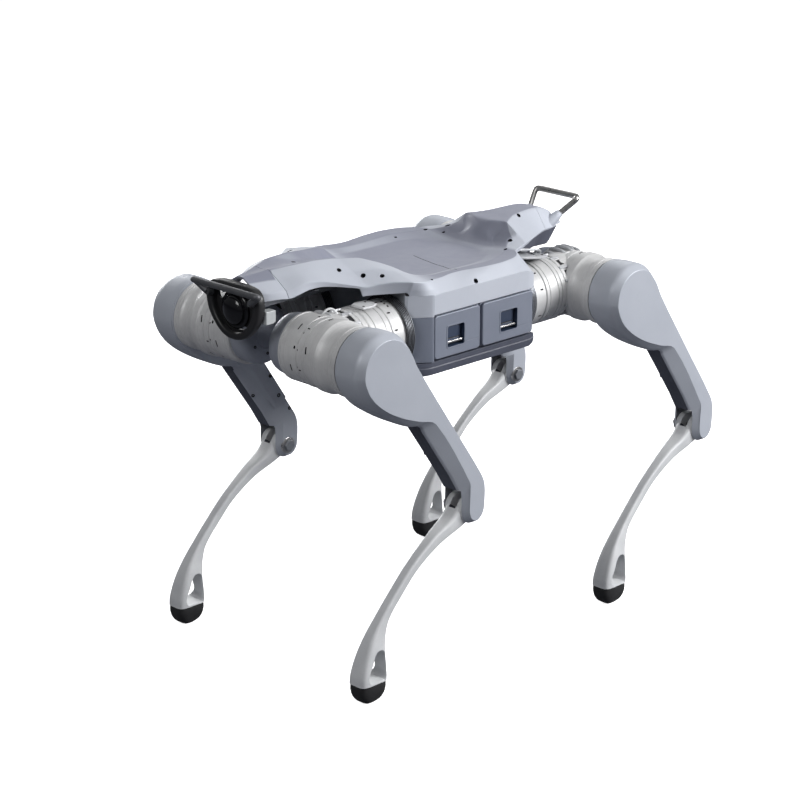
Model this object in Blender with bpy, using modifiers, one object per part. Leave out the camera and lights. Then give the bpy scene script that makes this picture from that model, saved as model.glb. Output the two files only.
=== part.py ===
"""Quadruped robot dog: body, four three-joint legs, two slide-in batteries.

Metres, +X is the front, +Y the robot's left, +Z up, feet on z = 0.
Run with: blender --background --python part.py
"""
import math

import bmesh
import bpy
from mathutils import Matrix, Vector

# ---------------------------------------------------------------- dimensions
XC = 0.045            # shift that puts the bounding box centre on x = 0
HIP_X = 0.250         # hip pitch axes at x = +-HIP_X
HIP_Z = 0.473         # height of the hip axes
ROLL_Y = 0.080        # roll axes at y = +-ROLL_Y
KNEE = (-0.1655, -0.2365)   # knee axis from the hip pitch axis (x, z)
BODY_X = 0.118        # half length of the torso box
BODY_Y = 0.140        # half width of the torso box
LEG_IN, LEG_OUT = 0.168, 0.2175   # inner and outer face of the thigh
GAP_IN, GAP_OUT = 0.1765, 0.2085  # slot of the knee fork
BARREL_R = 0.048
ROLL_R = 0.0475
PIN_R = 0.005
ROCKER = (-0.0165, 0.0113)   # rocker pin from the knee axis; the drive rod stays parallel to hip-knee
SEG = 28

for old in list(bpy.data.objects):
    bpy.data.objects.remove(old, do_unlink=True)

scene_root = bpy.context.scene.collection
parts = bpy.data.collections.new("robot_dog")
cutters = bpy.data.collections.new("cutters")
scene_root.children.link(parts)
scene_root.children.link(cutters)


# ---------------------------------------------------------------- helpers
def empty(name, loc, parent=None):
    e = bpy.data.objects.new(name, None)
    parts.objects.link(e)
    e.location = loc
    e.parent = parent
    return e


ROOT = empty("body_origin", (XC, 0, 0))
COLORS = {
    "shell": ((0.52, 0.55, 0.63, 1), 0.45, 0.0),
    "deck": ((0.30, 0.32, 0.39, 1), 0.5, 0.0),
    "dark": ((0.10, 0.11, 0.15, 1), 0.5, 0.0),
    "metal": ((0.62, 0.62, 0.60, 1), 0.35, 0.85),
    "alloy": ((0.66, 0.67, 0.68, 1), 0.4, 0.6),
    "steel": ((0.50, 0.50, 0.51, 1), 0.3, 1.0),
    "rubber": ((0.022, 0.022, 0.024, 1), 0.75, 0.0),
    "lens": ((0.012, 0.012, 0.014, 1), 0.15, 0.0),
    "board": ((0.05, 0.10, 0.08, 1), 0.6, 0.0),
    "door": ((0.30, 0.33, 0.41, 1), 0.5, 0.0),
}


def material(name, kind):
    m = bpy.data.materials.new(name + "_mat")
    m.use_nodes = True
    color, rough, metal = COLORS[kind]
    b = m.node_tree.nodes["Principled BSDF"]
    b.inputs["Base Color"].default_value = color
    b.inputs["Roughness"].default_value = rough
    b.inputs["Metallic"].default_value = metal
    return m


def finish(name, me, kind, parent, loc, rot=(0, 0, 0)):
    ob = bpy.data.objects.new(name, me)
    parts.objects.link(ob)
    ob.data.materials.append(material(name, kind))
    ob.parent = parent
    ob.location = loc
    ob.rotation_euler = rot
    return ob


def mesh_of(bm, name):
    bmesh.ops.recalc_face_normals(bm, faces=bm.faces)
    me = bpy.data.meshes.new(name)
    bm.to_mesh(me)
    bm.free()
    return me


def loft(rings, close=True):
    """Faces between rings of equal length; the first and last are capped."""
    bm = bmesh.new()
    rows = [[bm.verts.new(p) for p in ring] for ring in rings]
    n = len(rows[0])
    for a, b in zip(rows, rows[1:]):
        for i in range(n if close else n - 1):
            j = (i + 1) % n
            bm.faces.new((a[i], a[j], b[j], b[i]))
    if close:
        bm.faces.new(rows[0])
        bm.faces.new(rows[-1])
    return bm


def box_bm(x0, x1, y0, y1, z0, z1, bm=None):
    bm = bm or bmesh.new()
    made = bmesh.ops.create_cube(bm, size=1.0)["verts"]
    bmesh.ops.scale(bm, vec=(x1 - x0, y1 - y0, z1 - z0), verts=made)
    bmesh.ops.translate(bm, vec=((x0 + x1) / 2, (y0 + y1) / 2, (z0 + z1) / 2), verts=made)
    return bm


def rod_bm(axis, c, r, a0, a1, seg=SEG, bm=None, r2=None):
    """Cylinder along axis 'X' or 'Y', from a0 to a1, centre line through c."""
    bm = bm or bmesh.new()
    made = bmesh.ops.create_cone(bm, cap_ends=True, segments=seg, radius1=r,
                                 radius2=r if r2 is None else r2, depth=a1 - a0)["verts"]
    turn = Matrix.Rotation(math.pi / 2, 3, "Y") if axis == "X" else Matrix.Rotation(-math.pi / 2, 3, "X")
    bmesh.ops.rotate(bm, cent=(0, 0, 0), matrix=turn, verts=made)
    mid = (a0 + a1) / 2
    at = (mid, c[0], c[1]) if axis == "X" else (c[0], mid, c[1])
    bmesh.ops.translate(bm, vec=at, verts=made)
    return bm


def prism_y(outline, y0, y1):
    return loft([[(x, y, z) for x, z in outline] for y in (y0, y1)])


def cutter(name, bm, parent, loc):
    me = mesh_of(bm, name)
    ob = bpy.data.objects.new(name, me)
    cutters.objects.link(ob)
    ob.parent = parent
    ob.location = loc
    ob.hide_render = True
    ob.display_type = "WIRE"
    return ob


def boolean(ob, other, op):
    m = ob.modifiers.new(other.name, "BOOLEAN")
    m.operation = op
    m.solver = "EXACT"
    m.object = other


def bevel(ob, width, segments=2, angle=40):
    m = ob.modifiers.new("soft_edges", "BEVEL")
    m.width = width
    m.segments = segments
    m.limit_method = "ANGLE"
    m.angle_limit = math.radians(angle)


def turned(name, profile, axis, kind, parent, loc, seg=SEG, sign=1):
    """Screw-turned solid. profile is (radius, position along the axis)."""
    bm = bmesh.new()
    row = [bm.verts.new((r, 0, a)) for r, a in reversed(profile)]
    for a, b in zip(row, row[1:]):
        bm.edges.new((a, b))
    me = bpy.data.meshes.new(name)
    bm.to_mesh(me)
    bm.free()
    if axis == "Y":
        rot = (-math.pi / 2 if sign > 0 else math.pi / 2, 0, 0)
    else:
        rot = (0, math.pi / 2 if sign > 0 else -math.pi / 2, 0)
    ob = finish(name, me, kind, parent, loc, rot)
    s = ob.modifiers.new("turn", "SCREW")
    s.axis = "Z"
    s.angle = 2 * math.pi
    s.steps = s.render_steps = seg
    s.use_merge_vertices = True
    s.merge_threshold = 1e-5
    return ob


def tube(name, pts, r, kind, parent, res=4, closed=False):
    cu = bpy.data.curves.new(name, "CURVE")
    cu.dimensions = "3D"
    cu.bevel_depth = r
    cu.bevel_resolution = res
    cu.use_fill_caps = True
    sp = cu.splines.new("POLY")
    sp.points.add(len(pts) - 1)
    for p, q in zip(sp.points, pts):
        p.co = (*q, 1)
    sp.use_cyclic_u = closed
    ob = bpy.data.objects.new(name, cu)
    parts.objects.link(ob)
    cu.materials.append(material(name, kind))
    ob.parent = parent
    return ob


def arc(c, r, a0, a1, n):
    """(x, z) points on an arc; angles in degrees from +x towards +z."""
    return [(c[0] + r * math.cos(math.radians(a0 + (a1 - a0) * i / (n - 1))),
             c[1] + r * math.sin(math.radians(a0 + (a1 - a0) * i / (n - 1)))) for i in range(n)]


def rounded(corners, radius, n=3):
    """Corner points of a 3D path replaced by short arcs."""
    out = []
    for i, p in enumerate(corners):
        p = Vector(p)
        if i in (0, len(corners) - 1):
            out.append(p)
            continue
        a, b = Vector(corners[i - 1]), Vector(corners[i + 1])
        d1, d2 = (a - p).normalized(), (b - p).normalized()
        s, e = p + d1 * radius, p + d2 * radius
        for k in range(n + 1):
            t = k / n
            out.append(s * (1 - t) ** 2 + p * 2 * t * (1 - t) + e * t ** 2)
    return out


# ---------------------------------------------------------------- top shell
# x, then (y, z) of half a section: centre, valley, crest, shoulder, facet, skirt
TOP = [
    (0.2770, [(0, .5760), (.0082, .5768), (.0138, .5778), (.0305, .5694), (.0495, .5545), (.0545, .5450)]),
    (0.2620, [(0, .5766), (.0120, .5776), (.0200, .5790), (.0375, .5722), (.0550, .5592), (.0590, .5490)]),
    (0.2460, [(0, .5768), (.0140, .5782), (.0245, .5806), (.0425, .5748), (.0598, .5634), (.0615, .5530)]),
    (0.2300, [(0, .5758), (.0145, .5776), (.0260, .5811), (.0460, .5762), (.0655, .5625), (.0650, .5540)]),
    (0.2130, [(0, .5730), (.0150, .5752), (.0272, .5812), (.0500, .5765), (.0722, .5586), (.0710, .5525)]),
    (0.1950, [(0, .5690), (.0155, .5716), (.0290, .5802), (.0550, .5752), (.0808, .5541), (.0795, .5495)]),
    (0.1790, [(0, .5645), (.0165, .5675), (.0315, .5788), (.0600, .5730), (.0892, .5498), (.0875, .5462)]),
    (0.1735, [(0, .5628), (.0170, .5660), (.0328, .5780), (.0622, .5719), (.0925, .5488), (.0915, .5345)]),
    (0.1700, [(0, .5618), (.0172, .5650), (.0335, .5776), (.0635, .5713), (.0945, .5484), (.0935, .5348)]),
    (0.1580, [(0, .5582), (.0185, .5615), (.0362, .5762), (.0690, .5690), (.1012, .5508), (.1000, .5350)]),
    (0.1380, [(0, .5520), (.0230, .5545), (.0400, .5738), (.0780, .5642), (.1150, .5530), (.1138, .5350)]),
    (0.1205, [(0, .5466), (.0320, .5486), (.0522, .5680), (.0904, .5596), (.1282, .5521), (.1266, .5352)]),
    (0.1180, [(0, .5460), (.0330, .5478), (.0540, .5672), (.0920, .5590), (.1300, .5518), (.1290, .5420)]),
    (0.1000, [(0, .5410), (.0420, .5422), (.0690, .5590), (.1010, .5536), (.1318, .5490), (.1362, .5420)]),
    (0.0800, [(0, .5370), (.0460, .5378), (.0790, .5470), (.1020, .5488), (.1262, .5470), (.1388, .5420)]),
    (0.0550, [(0, .5345), (.0480, .5350), (.0830, .5408), (.1020, .5450), (.1218, .5463), (.1388, .5420)]),
    (0.0200, [(0, .5335), (.0480, .5338), (.0820, .5385), (.0980, .5438), (.1150, .5460), (.1388, .5420)]),
    (-0.0300, [(0, .5338), (.0460, .5341), (.0820, .5385), (.1010, .5440), (.1233, .5460), (.1388, .5420)]),
    (-0.0810, [(0, .5345), (.0400, .5352), (.0720, .5395), (.0980, .5448), (.1224, .5463), (.1388, .5420)]),
    (-0.0970, [(0, .5352), (.0360, .5360), (.0650, .5405), (.0920, .5452), (.1178, .5464), (.1370, .5420)]),
    (-0.1120, [(0, .5365), (.0310, .5372), (.0580, .5420), (.0830, .5462), (.1062, .5467), (.1180, .5420)]),
    (-0.1200, [(0, .5385), (.0270, .5390), (.0540, .5436), (.0770, .5469), (.0972, .5470), (.0975, .5412)]),
    (-0.1350, [(0, .5470), (.0180, .5450), (.0380, .5455), (.0640, .5495), (.0905, .5470), (.0880, .5405)]),
    (-0.1450, [(0, .5640), (.0140, .5615), (.0300, .5530), (.0560, .5524), (.0862, .5470), (.0835, .5408)]),
    (-0.1560, [(0, .5712), (.0270, .5716), (.0400, .5660), (.0600, .5560), (.0812, .5470), (.0785, .5412)]),
    (-0.1640, [(0, .5718), (.0240, .5722), (.0382, .5722), (.0575, .5598), (.0778, .5470), (.0751, .5416)]),
    (-0.1940, [(0, .5738), (.0140, .5742), (.0238, .5743), (.0422, .5617), (.0632, .5468), (.0606, .5424)]),
    (-0.2140, [(0, .5746), (.0120, .5751), (.0208, .5752), (.0362, .5620), (.0536, .5466), (.0512, .5428)]),
    (-0.2460, [(0, .5746), (.0115, .5750), (.0190, .5748), (.0290, .5606), (.0392, .5452), (.0374, .5424)]),
]


def shell_sheet(name, rows, kind, thick, parent=ROOT):
    rings = []
    for x, half in rows:
        left = [(x, y, z) for y, z in reversed(half)]
        right = [(x, -y, z) for y, z in half[1:]]
        rings.append(left + right)
    bm = loft(rings, close=False)
    bmesh.ops.recalc_face_normals(bm, faces=bm.faces)
    if sum(f.normal.z for f in bm.faces) < 0:
        bmesh.ops.reverse_faces(bm, faces=bm.faces)
    me = bpy.data.meshes.new(name)
    bm.to_mesh(me)
    bm.free()
    ob = finish(name, me, kind, parent, (0, 0, 0))
    s = ob.modifiers.new("wall", "SOLIDIFY")
    s.thickness = thick
    s.offset = -1
    s.use_even_offset = False
    return ob


def top_shell():
    shell_sheet("top_shell", TOP, "shell", 0.0028)
    nose = [
        (0.3150, [(0, .5725), (.0030, .5726), (.0055, .5724), (.0185, .5650), (.0345, .5545), (.0420, .5440)]),
        (0.3020, [(0, .5738), (.0045, .5740), (.0075, .5741), (.0225, .5665), (.0410, .5550), (.0475, .5445)]),
        (0.2900, [(0, .5750), (.0062, .5754), (.0102, .5757), (.0262, .5680), (.0455, .5553), (.0510, .5452)]),
        (0.2784, [(0, .5760), (.0082, .5768), (.0138, .5778), (.0305, .5694), (.0495, .5545), (.0545, .5450)]),
    ]
    shell_sheet("nose_cover", nose, "shell", 0.0028)
    tail = [
        (-0.2466, [(0, .5746), (.0115, .5750), (.0190, .5748), (.0290, .5606), (.0392, .5452), (.0374, .5424)]),
        (-0.2640, [(0, .5715), (.0110, .5716), (.0180, .5711), (.0262, .5580), (.0342, .5440), (.0328, .5418)]),
        (-0.2800, [(0, .5645), (.0105, .5644), (.0165, .5636), (.0235, .5535), (.0300, .5446), (.0292, .5428)]),
    ]
    shell_sheet("tail_cover", tail, "shell", 0.0028)


# ---------------------------------------------------------------- torso
def side_shells():
    # section of the wall above the doors, (y, z): outside, top lip, inside
    sec = [(.1320, .5000), (.1400, .5000), (.1400, .5270), (.1385, .5340), (.1360, .5372),
           (.1180, .5372), (.1180, .5342), (.1320, .5317)]
    for tag, s in (("left", 1), ("right", -1)):
        rings = [[(x, s * y, z) for y, z in sec] for x in (-.1180, .0900)]
        # the front corner narrows towards the roll actuators
        rings.append([(.1180, s * (y - .012 if y > .12 else y), z) for y, z in sec])
        ob = finish("side_shell_" + tag, mesh_of(loft(rings), "side"), "shell", ROOT, (0, 0, 0))
        low = [(.0890, .132), (.0890, .140), (.0905, .140), (.1180, .128), (.1180, .120), (.0905, .132)]
        col = loft([[(x, s * y, z) for x, y in low] for z in (.4345, .5080)])
        boolean(ob, cutter("side_column_" + tag, col, ROOT, (0, 0, 0)), "UNION")
        if s < 0:
            # the right side is closed by a fixed wall
            wall = box_bm(-.1165, .0900, -.1385, -.1335, .4345, .5040)
            boolean(ob, cutter("side_wall_right", wall, ROOT, (0, 0, 0)), "UNION")


def belly():
    half = [(.0, .4130), (.120, .4130), (.1340, .4145), (.1380, .4170), (.1380, .4338), (.1320, .4338),
            (.1290, .4310), (.0, .4245)]
    rings = []
    for x, k, up in ((-.1180, .99, .0080), (-.1060, 1.0, 0), (.0880, 1.0, 0), (.1180, .91, 0)):
        row = [(y * k, z + (up if z < .425 else 0)) for y, z in half]
        rings.append([(x, y, z) for y, z in row] + [(x, -y, z) for y, z in reversed(row[1:-1])])
    finish("belly_pan", mesh_of(loft(rings), "belly"), "dark", ROOT, (0, 0, 0))


def chassis():
    bm = box_bm(-.1178, -.1135, -.1150, .1150, .4345, .5330)
    ob = finish("chassis_frame", mesh_of(bm, "chassis"), "alloy", ROOT, (0, 0, 0))
    joins = [
        box_bm(.1100, .1178, -.1150, .1150, .4345, .5330),
        box_bm(-.1150, .1120, -.1150, .1150, .5000, .5040),
        box_bm(.1110, .3000, -.0160, .0160, .5280, .5388),
        box_bm(.2900, .3186, -.0120, .0120, .5300, .5520),
        box_bm(-.1680, -.1140, -.0180, .0180, .5240, .5318),
        box_bm(-.1700, -.1630, -.0160, .0160, .5255, .5470),
        box_bm(-.2760, -.1650, -.0140, .0140, .5400, .5485),
    ]
    for i, b in enumerate(joins):
        boolean(ob, cutter("chassis_web_%d" % i, b, ROOT, (0, 0, 0)), "UNION")
    bm = box_bm(-.1000, .1000, -.1280, .0060, .4370, .4960)
    ob = finish("compute_module", mesh_of(bm, "compute"), "board", ROOT, (0, 0, 0))
    bevel(ob, .003, 1)


DOORS = {"rear": (-.1128, -.0072), "front": (-.0046, .0878)}
WINDOWS = {"rear": (-.0790, -.0450), "front": (.0285, .0615)}


def batteries():
    for tag in ("front", "rear"):
        x0, x1 = DOORS[tag]
        w0, w1 = WINDOWS[tag]
        mid = ((x0 + x1) / 2, .080, .4675)
        slide = empty("slide_battery_" + tag, mid, ROOT)
        bm = box_bm(x0 - mid[0], x1 - mid[0], .012 - mid[1], .1392 - mid[1], .4368 - mid[2], .4986 - mid[2])
        ob = finish("battery_" + tag, mesh_of(bm, "battery"), "door", slide, (0, 0, 0))
        bevel(ob, .0015, 1)
        pocket = box_bm(w0 - mid[0], w1 - mid[0], .1240 - mid[1], .150 - mid[1], .4495 - mid[2], .4795 - mid[2])
        boolean(ob, cutter("latch_pocket_" + tag, pocket, slide, (0, 0, 0)), "DIFFERENCE")
        hz, hy = .4755, .1320
        hinge = empty("hinge_latch_" + tag, (0, hy - mid[1], hz - mid[2]), slide)
        bm = loft([[(x - mid[0], y, z) for y, z in ((-.0022, -.0215), (.0016, -.0215), (.0016, .0010), (.0, .0022), (-.0022, .0010))]
                   for x in (w0 + .0012, w1 - .0012)])
        ob = finish("latch_" + tag, mesh_of(bm, "latch"), "metal", hinge, (0, 0, 0))
        lip = box_bm(w0 + .0012 - mid[0], w1 - .0012 - mid[0], .0012, .0052, -.0215, -.0190)
        boolean(ob, cutter("latch_lip_" + tag, lip, hinge, (0, 0, 0)), "UNION")


# ---------------------------------------------------------------- head, tail
GUARD = [(-.0535, .5430), (-.0490, .5220), (-.0350, .5030), (-.0190, .4915), (.0, .4880), (.0190, .4915),
         (.0350, .5030), (.0490, .5220), (.0535, .5430), (.0500, .5570), (.0380, .5650), (.0, .5670),
         (-.0380, .5650), (-.0500, .5570)]


def head():
    def scaled(k, dz=0.0):
        return [(y * k, .531 + (z - .531) * k + dz) for y, z in GUARD]
    outer = [[(x, y, z) for y, z in scaled(k)] for x, k in ((.3182, .97), (.3215, 1.0), (.3290, 1.0), (.3320, .965))]
    ob = finish("sensor_frame", mesh_of(loft(outer), "guard"), "rubber", ROOT, (0, 0, 0))
    hole = loft([[(x, y, z) for y, z in scaled(.80)] for x in (.310, .340)])
    boolean(ob, cutter("guard_window", hole, ROOT, (0, 0, 0)), "DIFFERENCE")
    spokes = box_bm(.3195, .3225, -.0460, .0460, .5240, .5340)
    boolean(ob, cutter("guard_bar", spokes, ROOT, (0, 0, 0)), "UNION")
    plate = rod_bm("X", (0, .529), .020, .3190, .3228, 20)
    boolean(ob, cutter("guard_plate", plate, ROOT, (0, 0, 0)), "UNION")
    foot = box_bm(.3195, .3225, -.0120, .0120, .5390, .5640)
    boolean(ob, cutter("guard_post", foot, ROOT, (0, 0, 0)), "UNION")
    turned("sensor_dome", [(0, 0), (.0270, 0), (.0260, .0045), (.0205, .0098), (.0120, .0135), (0, .0150)],
           "X", "lens", ROOT, (.3232, 0, .529), 28)
    for tag, s in (("left", 1), ("right", -1)):
        bm = box_bm(.3010, .3178, s * .0470 - .0070, s * .0470 + .0070, .5160, .5340)
        ob = finish("front_lamp_" + tag, mesh_of(bm, "lamp"), "metal", ROOT, (0, 0, 0))
        bevel(ob, .0015, 1)
    path = rounded([(.3370, -.0440, .5480), (.3400, -.0640, .5600), (.3440, -.0640, .5620),
                    (.3440, .0640, .5620), (.3400, .0640, .5600), (.3370, .0440, .5480)], .0035, 2)
    tube("front_handle", path, .0048, "dark", ROOT, 3)


def tail():
    path = rounded([(-.2840, -.0290, .5590), (-.3150, -.0440, .5838), (-.3150, .0440, .5838), (-.2840, .0290, .5590)], .009, 4)
    tube("rear_handle", path, .0045, "steel", ROOT, 3)
    rings = []
    for x, top, low, z in ((-.1725, .0400, .0300, .5260), (-.2000, .0350, .0255, .5220), (-.2350, .0290, .0195, .5130),
                           (-.2640, .0250, .0160, .5085), (-.2780, .0220, .0130, .5180)):
        rings.append([(x, y, h) for y, h in ((-top, .5394), (-top, .5360), (-low, z), (low, z), (top, .5360), (top, .5394))])
    ob = finish("rear_sensor", mesh_of(loft(rings), "rear_sensor"), "dark", ROOT, (0, 0, 0))


# ---------------------------------------------------------------- legs
HOUSING = [(0, .0503), (.0430, .0503), (.0478, .0535), (.0478, .0880), (.0462, .0890), (.0462, .0905), (.0485, .0915),
           (.0485, .1130), (.0505, .1155), (.0505, .1260), (.0480, .1290), (.0460, .1400), (.0460, .1500), (.0488, .1520),
           (.0488, .1642), (.0120, .1642), (.0120, .1850), (0, .1850)]
CAP = [(0, .0220), (.0300, .0220), (.0385, .0245), (.0425, .0300), (.0436, .0380), (.0436, .0498), (0, .0498)]

# thigh outlines (x, z) from the hip axis: widest level, then the flat outer face
WIDE = [(.0, .0510), (.0255, .0442), (.0442, .0255), (.0510, .0), (.0485, -.0150), (.0400, -.0320), (.0260, -.0480),
        (.0060, -.0630), (-.0200, -.0780), (-.0480, -.0905), (-.0760, -.0990), (-.1405, -.2060), (-.1445, -.2180),
        (-.1445, -.2365), (-.1490, -.2500), (-.1580, -.2570), (-.1690, -.2578), (-.1800, -.2520), (-.1860, -.2430),
        (-.1875, -.2330), (-.1880, -.2020), (-.1800, -.1820), (-.1190, -.0940), (-.0570, -.0020), (-.0460, .0220),
        (-.0255, .0442)]
FLAT = [(.0, .0430), (.0215, .0372), (.0372, .0215), (.0430, .0), (.0405, -.0125), (.0325, -.0280), (.0190, -.0425),
        (-.0010, -.0570), (-.0260, -.0700), (-.0560, -.0815), (-.0880, -.0930), (-.1545, -.1930), (-.1560, -.2080),
        (-.1550, -.2350), (-.1570, -.2440), (-.1620, -.2500), (-.1690, -.2520), (-.1760, -.2490), (-.1815, -.2420),
        (-.1835, -.2330), (-.1840, -.2040), (-.1765, -.1855), (-.1160, -.0980), (-.0530, -.0060), (-.0400, .0180),
        (-.0215, .0372)]
# on the inner side only the beam is chamfered, the drum keeps a small edge
INNER = [tuple(a * .975 for a in p) for p in WIDE[:8]] + [(-.0190, -.0760), (-.0470, -.0880), (-.0790, -.0960)] \
    + FLAT[11:23] + [tuple(a * .975 for a in p) for p in WIDE[23:]]

SHANK = [  # front (x, z), rear (x, z), half width
    ((-.1470, -.2300), (-.1760, -.2500), .0152),
    ((-.1330, -.2450), (-.1530, -.2610), .0135),
    ((-.1030, -.2630), (-.1130, -.2775), .0098),
    ((-.0615, -.2945), (-.0710, -.3045), .0080),
    ((-.0340, -.3210), (-.0440, -.3305), .0080),
    ((-.0060, -.3510), (-.0180, -.3590), .0085),
    ((.0165, -.3790), (-.0095, -.3800), .0110),
    ((.0310, -.4050), (-.0065, -.4050), .0145),
    ((.0400, -.4300), (-.0080, -.4300), .0166),
    ((.0415, -.4432), (-.0078, -.4432), .0170),
]
HOOP = [(.0050, -.3970), (.0130, -.3990), (.0200, -.4100), (.0285, -.4385), (-.0035, -.4385), (-.0040, -.4110), (-.0010, -.4000)]
SOLE = [(.0300, .0248, .0171), (.0220, .0250, .0172), (.0120, .0222, .0158), (.0050, .0170, .0125), (.0, .0085, .0070)]
YC = (GAP_IN + GAP_OUT) / 2


def section(front, rear, w, s, c=.28):
    """Chamfered rectangle between a front and a rear point, half width w."""
    f, r = Vector((front[0], 0, front[1])), Vector((rear[0], 0, rear[1]))
    d = f - r
    ring = []
    for u, v in ((-.5, -1 + 2 * c), (-.5, 1 - 2 * c), (-.5 + c, 1), (.5 - c, 1), (.5, 1 - 2 * c), (.5, -1 + 2 * c),
                 (.5 - c, -1), (-.5 + c, -1)):
        q = r + d * (u + .5)
        ring.append((q.x, s * YC + v * w, q.z))
    return ring


def leg(tag, hx, s):
    """hx: hip x; s: +1 left, -1 right. Points toward the torso with t."""
    t = -1 if hx > 0 else 1
    roll = empty("axis_roll_" + tag, (hx, s * ROLL_Y, HIP_Z), ROOT)
    pitch = empty("axis_pitch_" + tag, (0, s * (YC - ROLL_Y), 0), roll)
    knee = empty("axis_knee_" + tag, (KNEE[0], 0, KNEE[1]), pitch)

    # fixed roll actuator and its gasket on the torso end
    face = BODY_X + .0003
    end = HIP_X - .0605
    turned("roll_actuator_" + tag,
           [(0, face), (ROLL_R - .004, face), (ROLL_R, face + .003), (ROLL_R, face + .036), (ROLL_R - .0015, face + .037),
            (ROLL_R - .0015, face + .039), (ROLL_R, face + .040), (ROLL_R, end - .003), (ROLL_R - .002, end), (0, end)],
           "X", "metal", ROOT, (0, s * ROLL_Y, HIP_Z), SEG, -t)
    turned("roll_gasket_" + tag,
           [(.0482, face), (.0535, face), (.0535, face + .0014), (.0520, face + .0026), (.0530, face + .0040),
            (.0515, face + .0054), (.0525, face + .0068), (.0510, face + .0084), (.0518, face + .0098),
            (.0502, face + .0120), (.0482, face + .0120), (.0482, face)],
           "X", "rubber", ROOT, (0, s * ROLL_Y, HIP_Z), SEG, -t)

    # hip: the barrel turned about the pitch axis, and its roll flange
    ob = turned("hip_housing_" + tag, [(r, a - ROLL_Y) for r, a in HOUSING], "Y", "metal", roll, (0, 0, 0), SEG, s)
    a0, a1 = sorted((t * .0600, t * .0447))
    flange = rod_bm("X", (0, 0), .0462, a0, a1, SEG)
    boolean(ob, cutter("roll_flange_" + tag, flange, roll, (0, 0, 0)), "UNION")
    turned("hip_end_cap_" + tag, [(r, a - ROLL_Y) for r, a in CAP], "Y", "shell", roll, (0, 0, 0), SEG, s)

    # thigh
    def at(y):
        return s * (y - YC)
    levels = [(.1664, [tuple(a * .94 for a in p) if math.hypot(*p) < .066 else q for p, q in zip(WIDE, INNER)]),
              (.1680, INNER), (.1800, WIDE), (.2060, WIDE), (LEG_OUT, FLAT)]
    # the beam's inner face is flat at LEG_IN; the drum stands out a little
    rings = []
    for y, line in levels[1:]:
        rings.append([(x, at(y), z) for x, z in line])
    ob = finish("thigh_frame_" + tag, mesh_of(loft(rings), "thigh"), "shell", pitch, (0, 0, 0))
    rim = rod_bm("Y", (0, 0), .0490, *sorted((at(.1648), at(.1720))), SEG)
    boolean(ob, cutter("thigh_rim_" + tag, rim, pitch, (0, 0, 0)), "UNION")
    slot = box_bm(-.2000, -.1300, *sorted((at(GAP_IN), at(GAP_OUT))), -.2800, -.2035)
    boolean(ob, cutter("fork_slot_" + tag, slot, pitch, (0, 0, 0)), "DIFFERENCE")
    # channel of the knee drive rod, from the hip drum to the fork
    d, n = Vector((-.5740, -.8189)), Vector((.8189, -.5740))
    chan = []
    for along, across in ((-.0200, -.0285), (-.0200, -.0032), (.2800, -.0032), (.2800, -.0285)):
        q = d * along + n * across
        chan.append((q.x, q.y))
    boolean(ob, cutter("rod_channel_" + tag, prism_y(chan, *sorted((at(.1868), at(.1982)))), pitch, (0, 0, 0)), "DIFFERENCE")
    bore = rod_bm("Y", (0, 0), .0128, *sorted((at(.1600), at(.1858))), 24)
    boolean(ob, cutter("hip_bore_" + tag, bore, pitch, (0, 0, 0)), "DIFFERENCE")
    pin_hole = rod_bm("Y", KNEE, PIN_R + .0003, *sorted((at(.1600), at(.2130))), 20)
    boolean(ob, cutter("pin_hole_" + tag, pin_hole, pitch, (0, 0, 0)), "DIFFERENCE")

    # inner cover plate on the beam, thicker near the hip
    d, n = Vector((-.565, -.825)), Vector((.825, -.565))
    rings = []
    for along, ys, ps in ((.072, (.1677, .1640, .1605, .1605, .1677), (-.0425, -.0425, -.0395, -.0185, -.0085)),
                          (.100, (.1677, .1632, .1600, .1600, .1677), (-.0425, -.0425, -.0395, -.0185, -.0085)),
                          (.222, (.1677, .1662, .1650, .1650, .1677), (-.0425, -.0425, -.0410, -.0200, -.0165))):
        ring = []
        for y, p in zip(ys, ps):
            q = d * along + n * p
            ring.append((q.x, at(y), q.y))
        rings.append(ring)
    finish("thigh_cover_" + tag, mesh_of(loft(rings), "cover"), "shell", pitch, (0, 0, 0))

    # knee drive rod: an eye at each end, held by the rocker pin of the shank
    rocker = empty("axis_rod_" + tag, (ROCKER[0], 0, ROCKER[1]), knee)
    ux, uz = -KNEE[0], -KNEE[1]
    ang = math.degrees(math.atan2(uz, ux))
    length = math.hypot(ux, uz)
    u, w = Vector((ux, uz)) / length, Vector((-uz, ux)) / length
    bar = [u * a + w * b for a, b in ((.0030, -.0035), (length - .0030, -.0035), (length - .0030, .0035), (.0030, .0035))]
    ob = finish("knee_rod_" + tag, mesh_of(prism_y([tuple(q) for q in bar], *sorted((at(.1884), at(.1966)))), "rod"),
                "steel", rocker, (0, 0, 0))
    for i, c in enumerate(((0, 0), (ux, uz))):
        eye = rod_bm("Y", c, .0060, *sorted((at(.1882), at(.1968))), 20)
        boolean(ob, cutter("rod_eye_%d_%s" % (i, tag), eye, rocker, (0, 0, 0)), "UNION")
    for i, c in enumerate(((0, 0), (ux, uz))):
        hole = rod_bm("Y", c, .0033, -.03, .03, 16)
        boolean(ob, cutter("rod_hole_%d_%s" % (i, tag), hole, rocker, (0, 0, 0)), "DIFFERENCE")

    # knee pin with a hex head on the inner side
    bm = rod_bm("Y", (0, 0), PIN_R, *sorted((at(.1668), at(.2125))), 20)
    ob = finish("knee_pin_" + tag, mesh_of(bm, "pin"), "steel", pitch, (KNEE[0], 0, KNEE[1]))
    bm = rod_bm("Y", (0, 0), .0092, *sorted((at(.1628), at(.1677))), 6)
    boolean(ob, cutter("pin_head_" + tag, bm, pitch, (KNEE[0], 0, KNEE[1])), "UNION")

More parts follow.
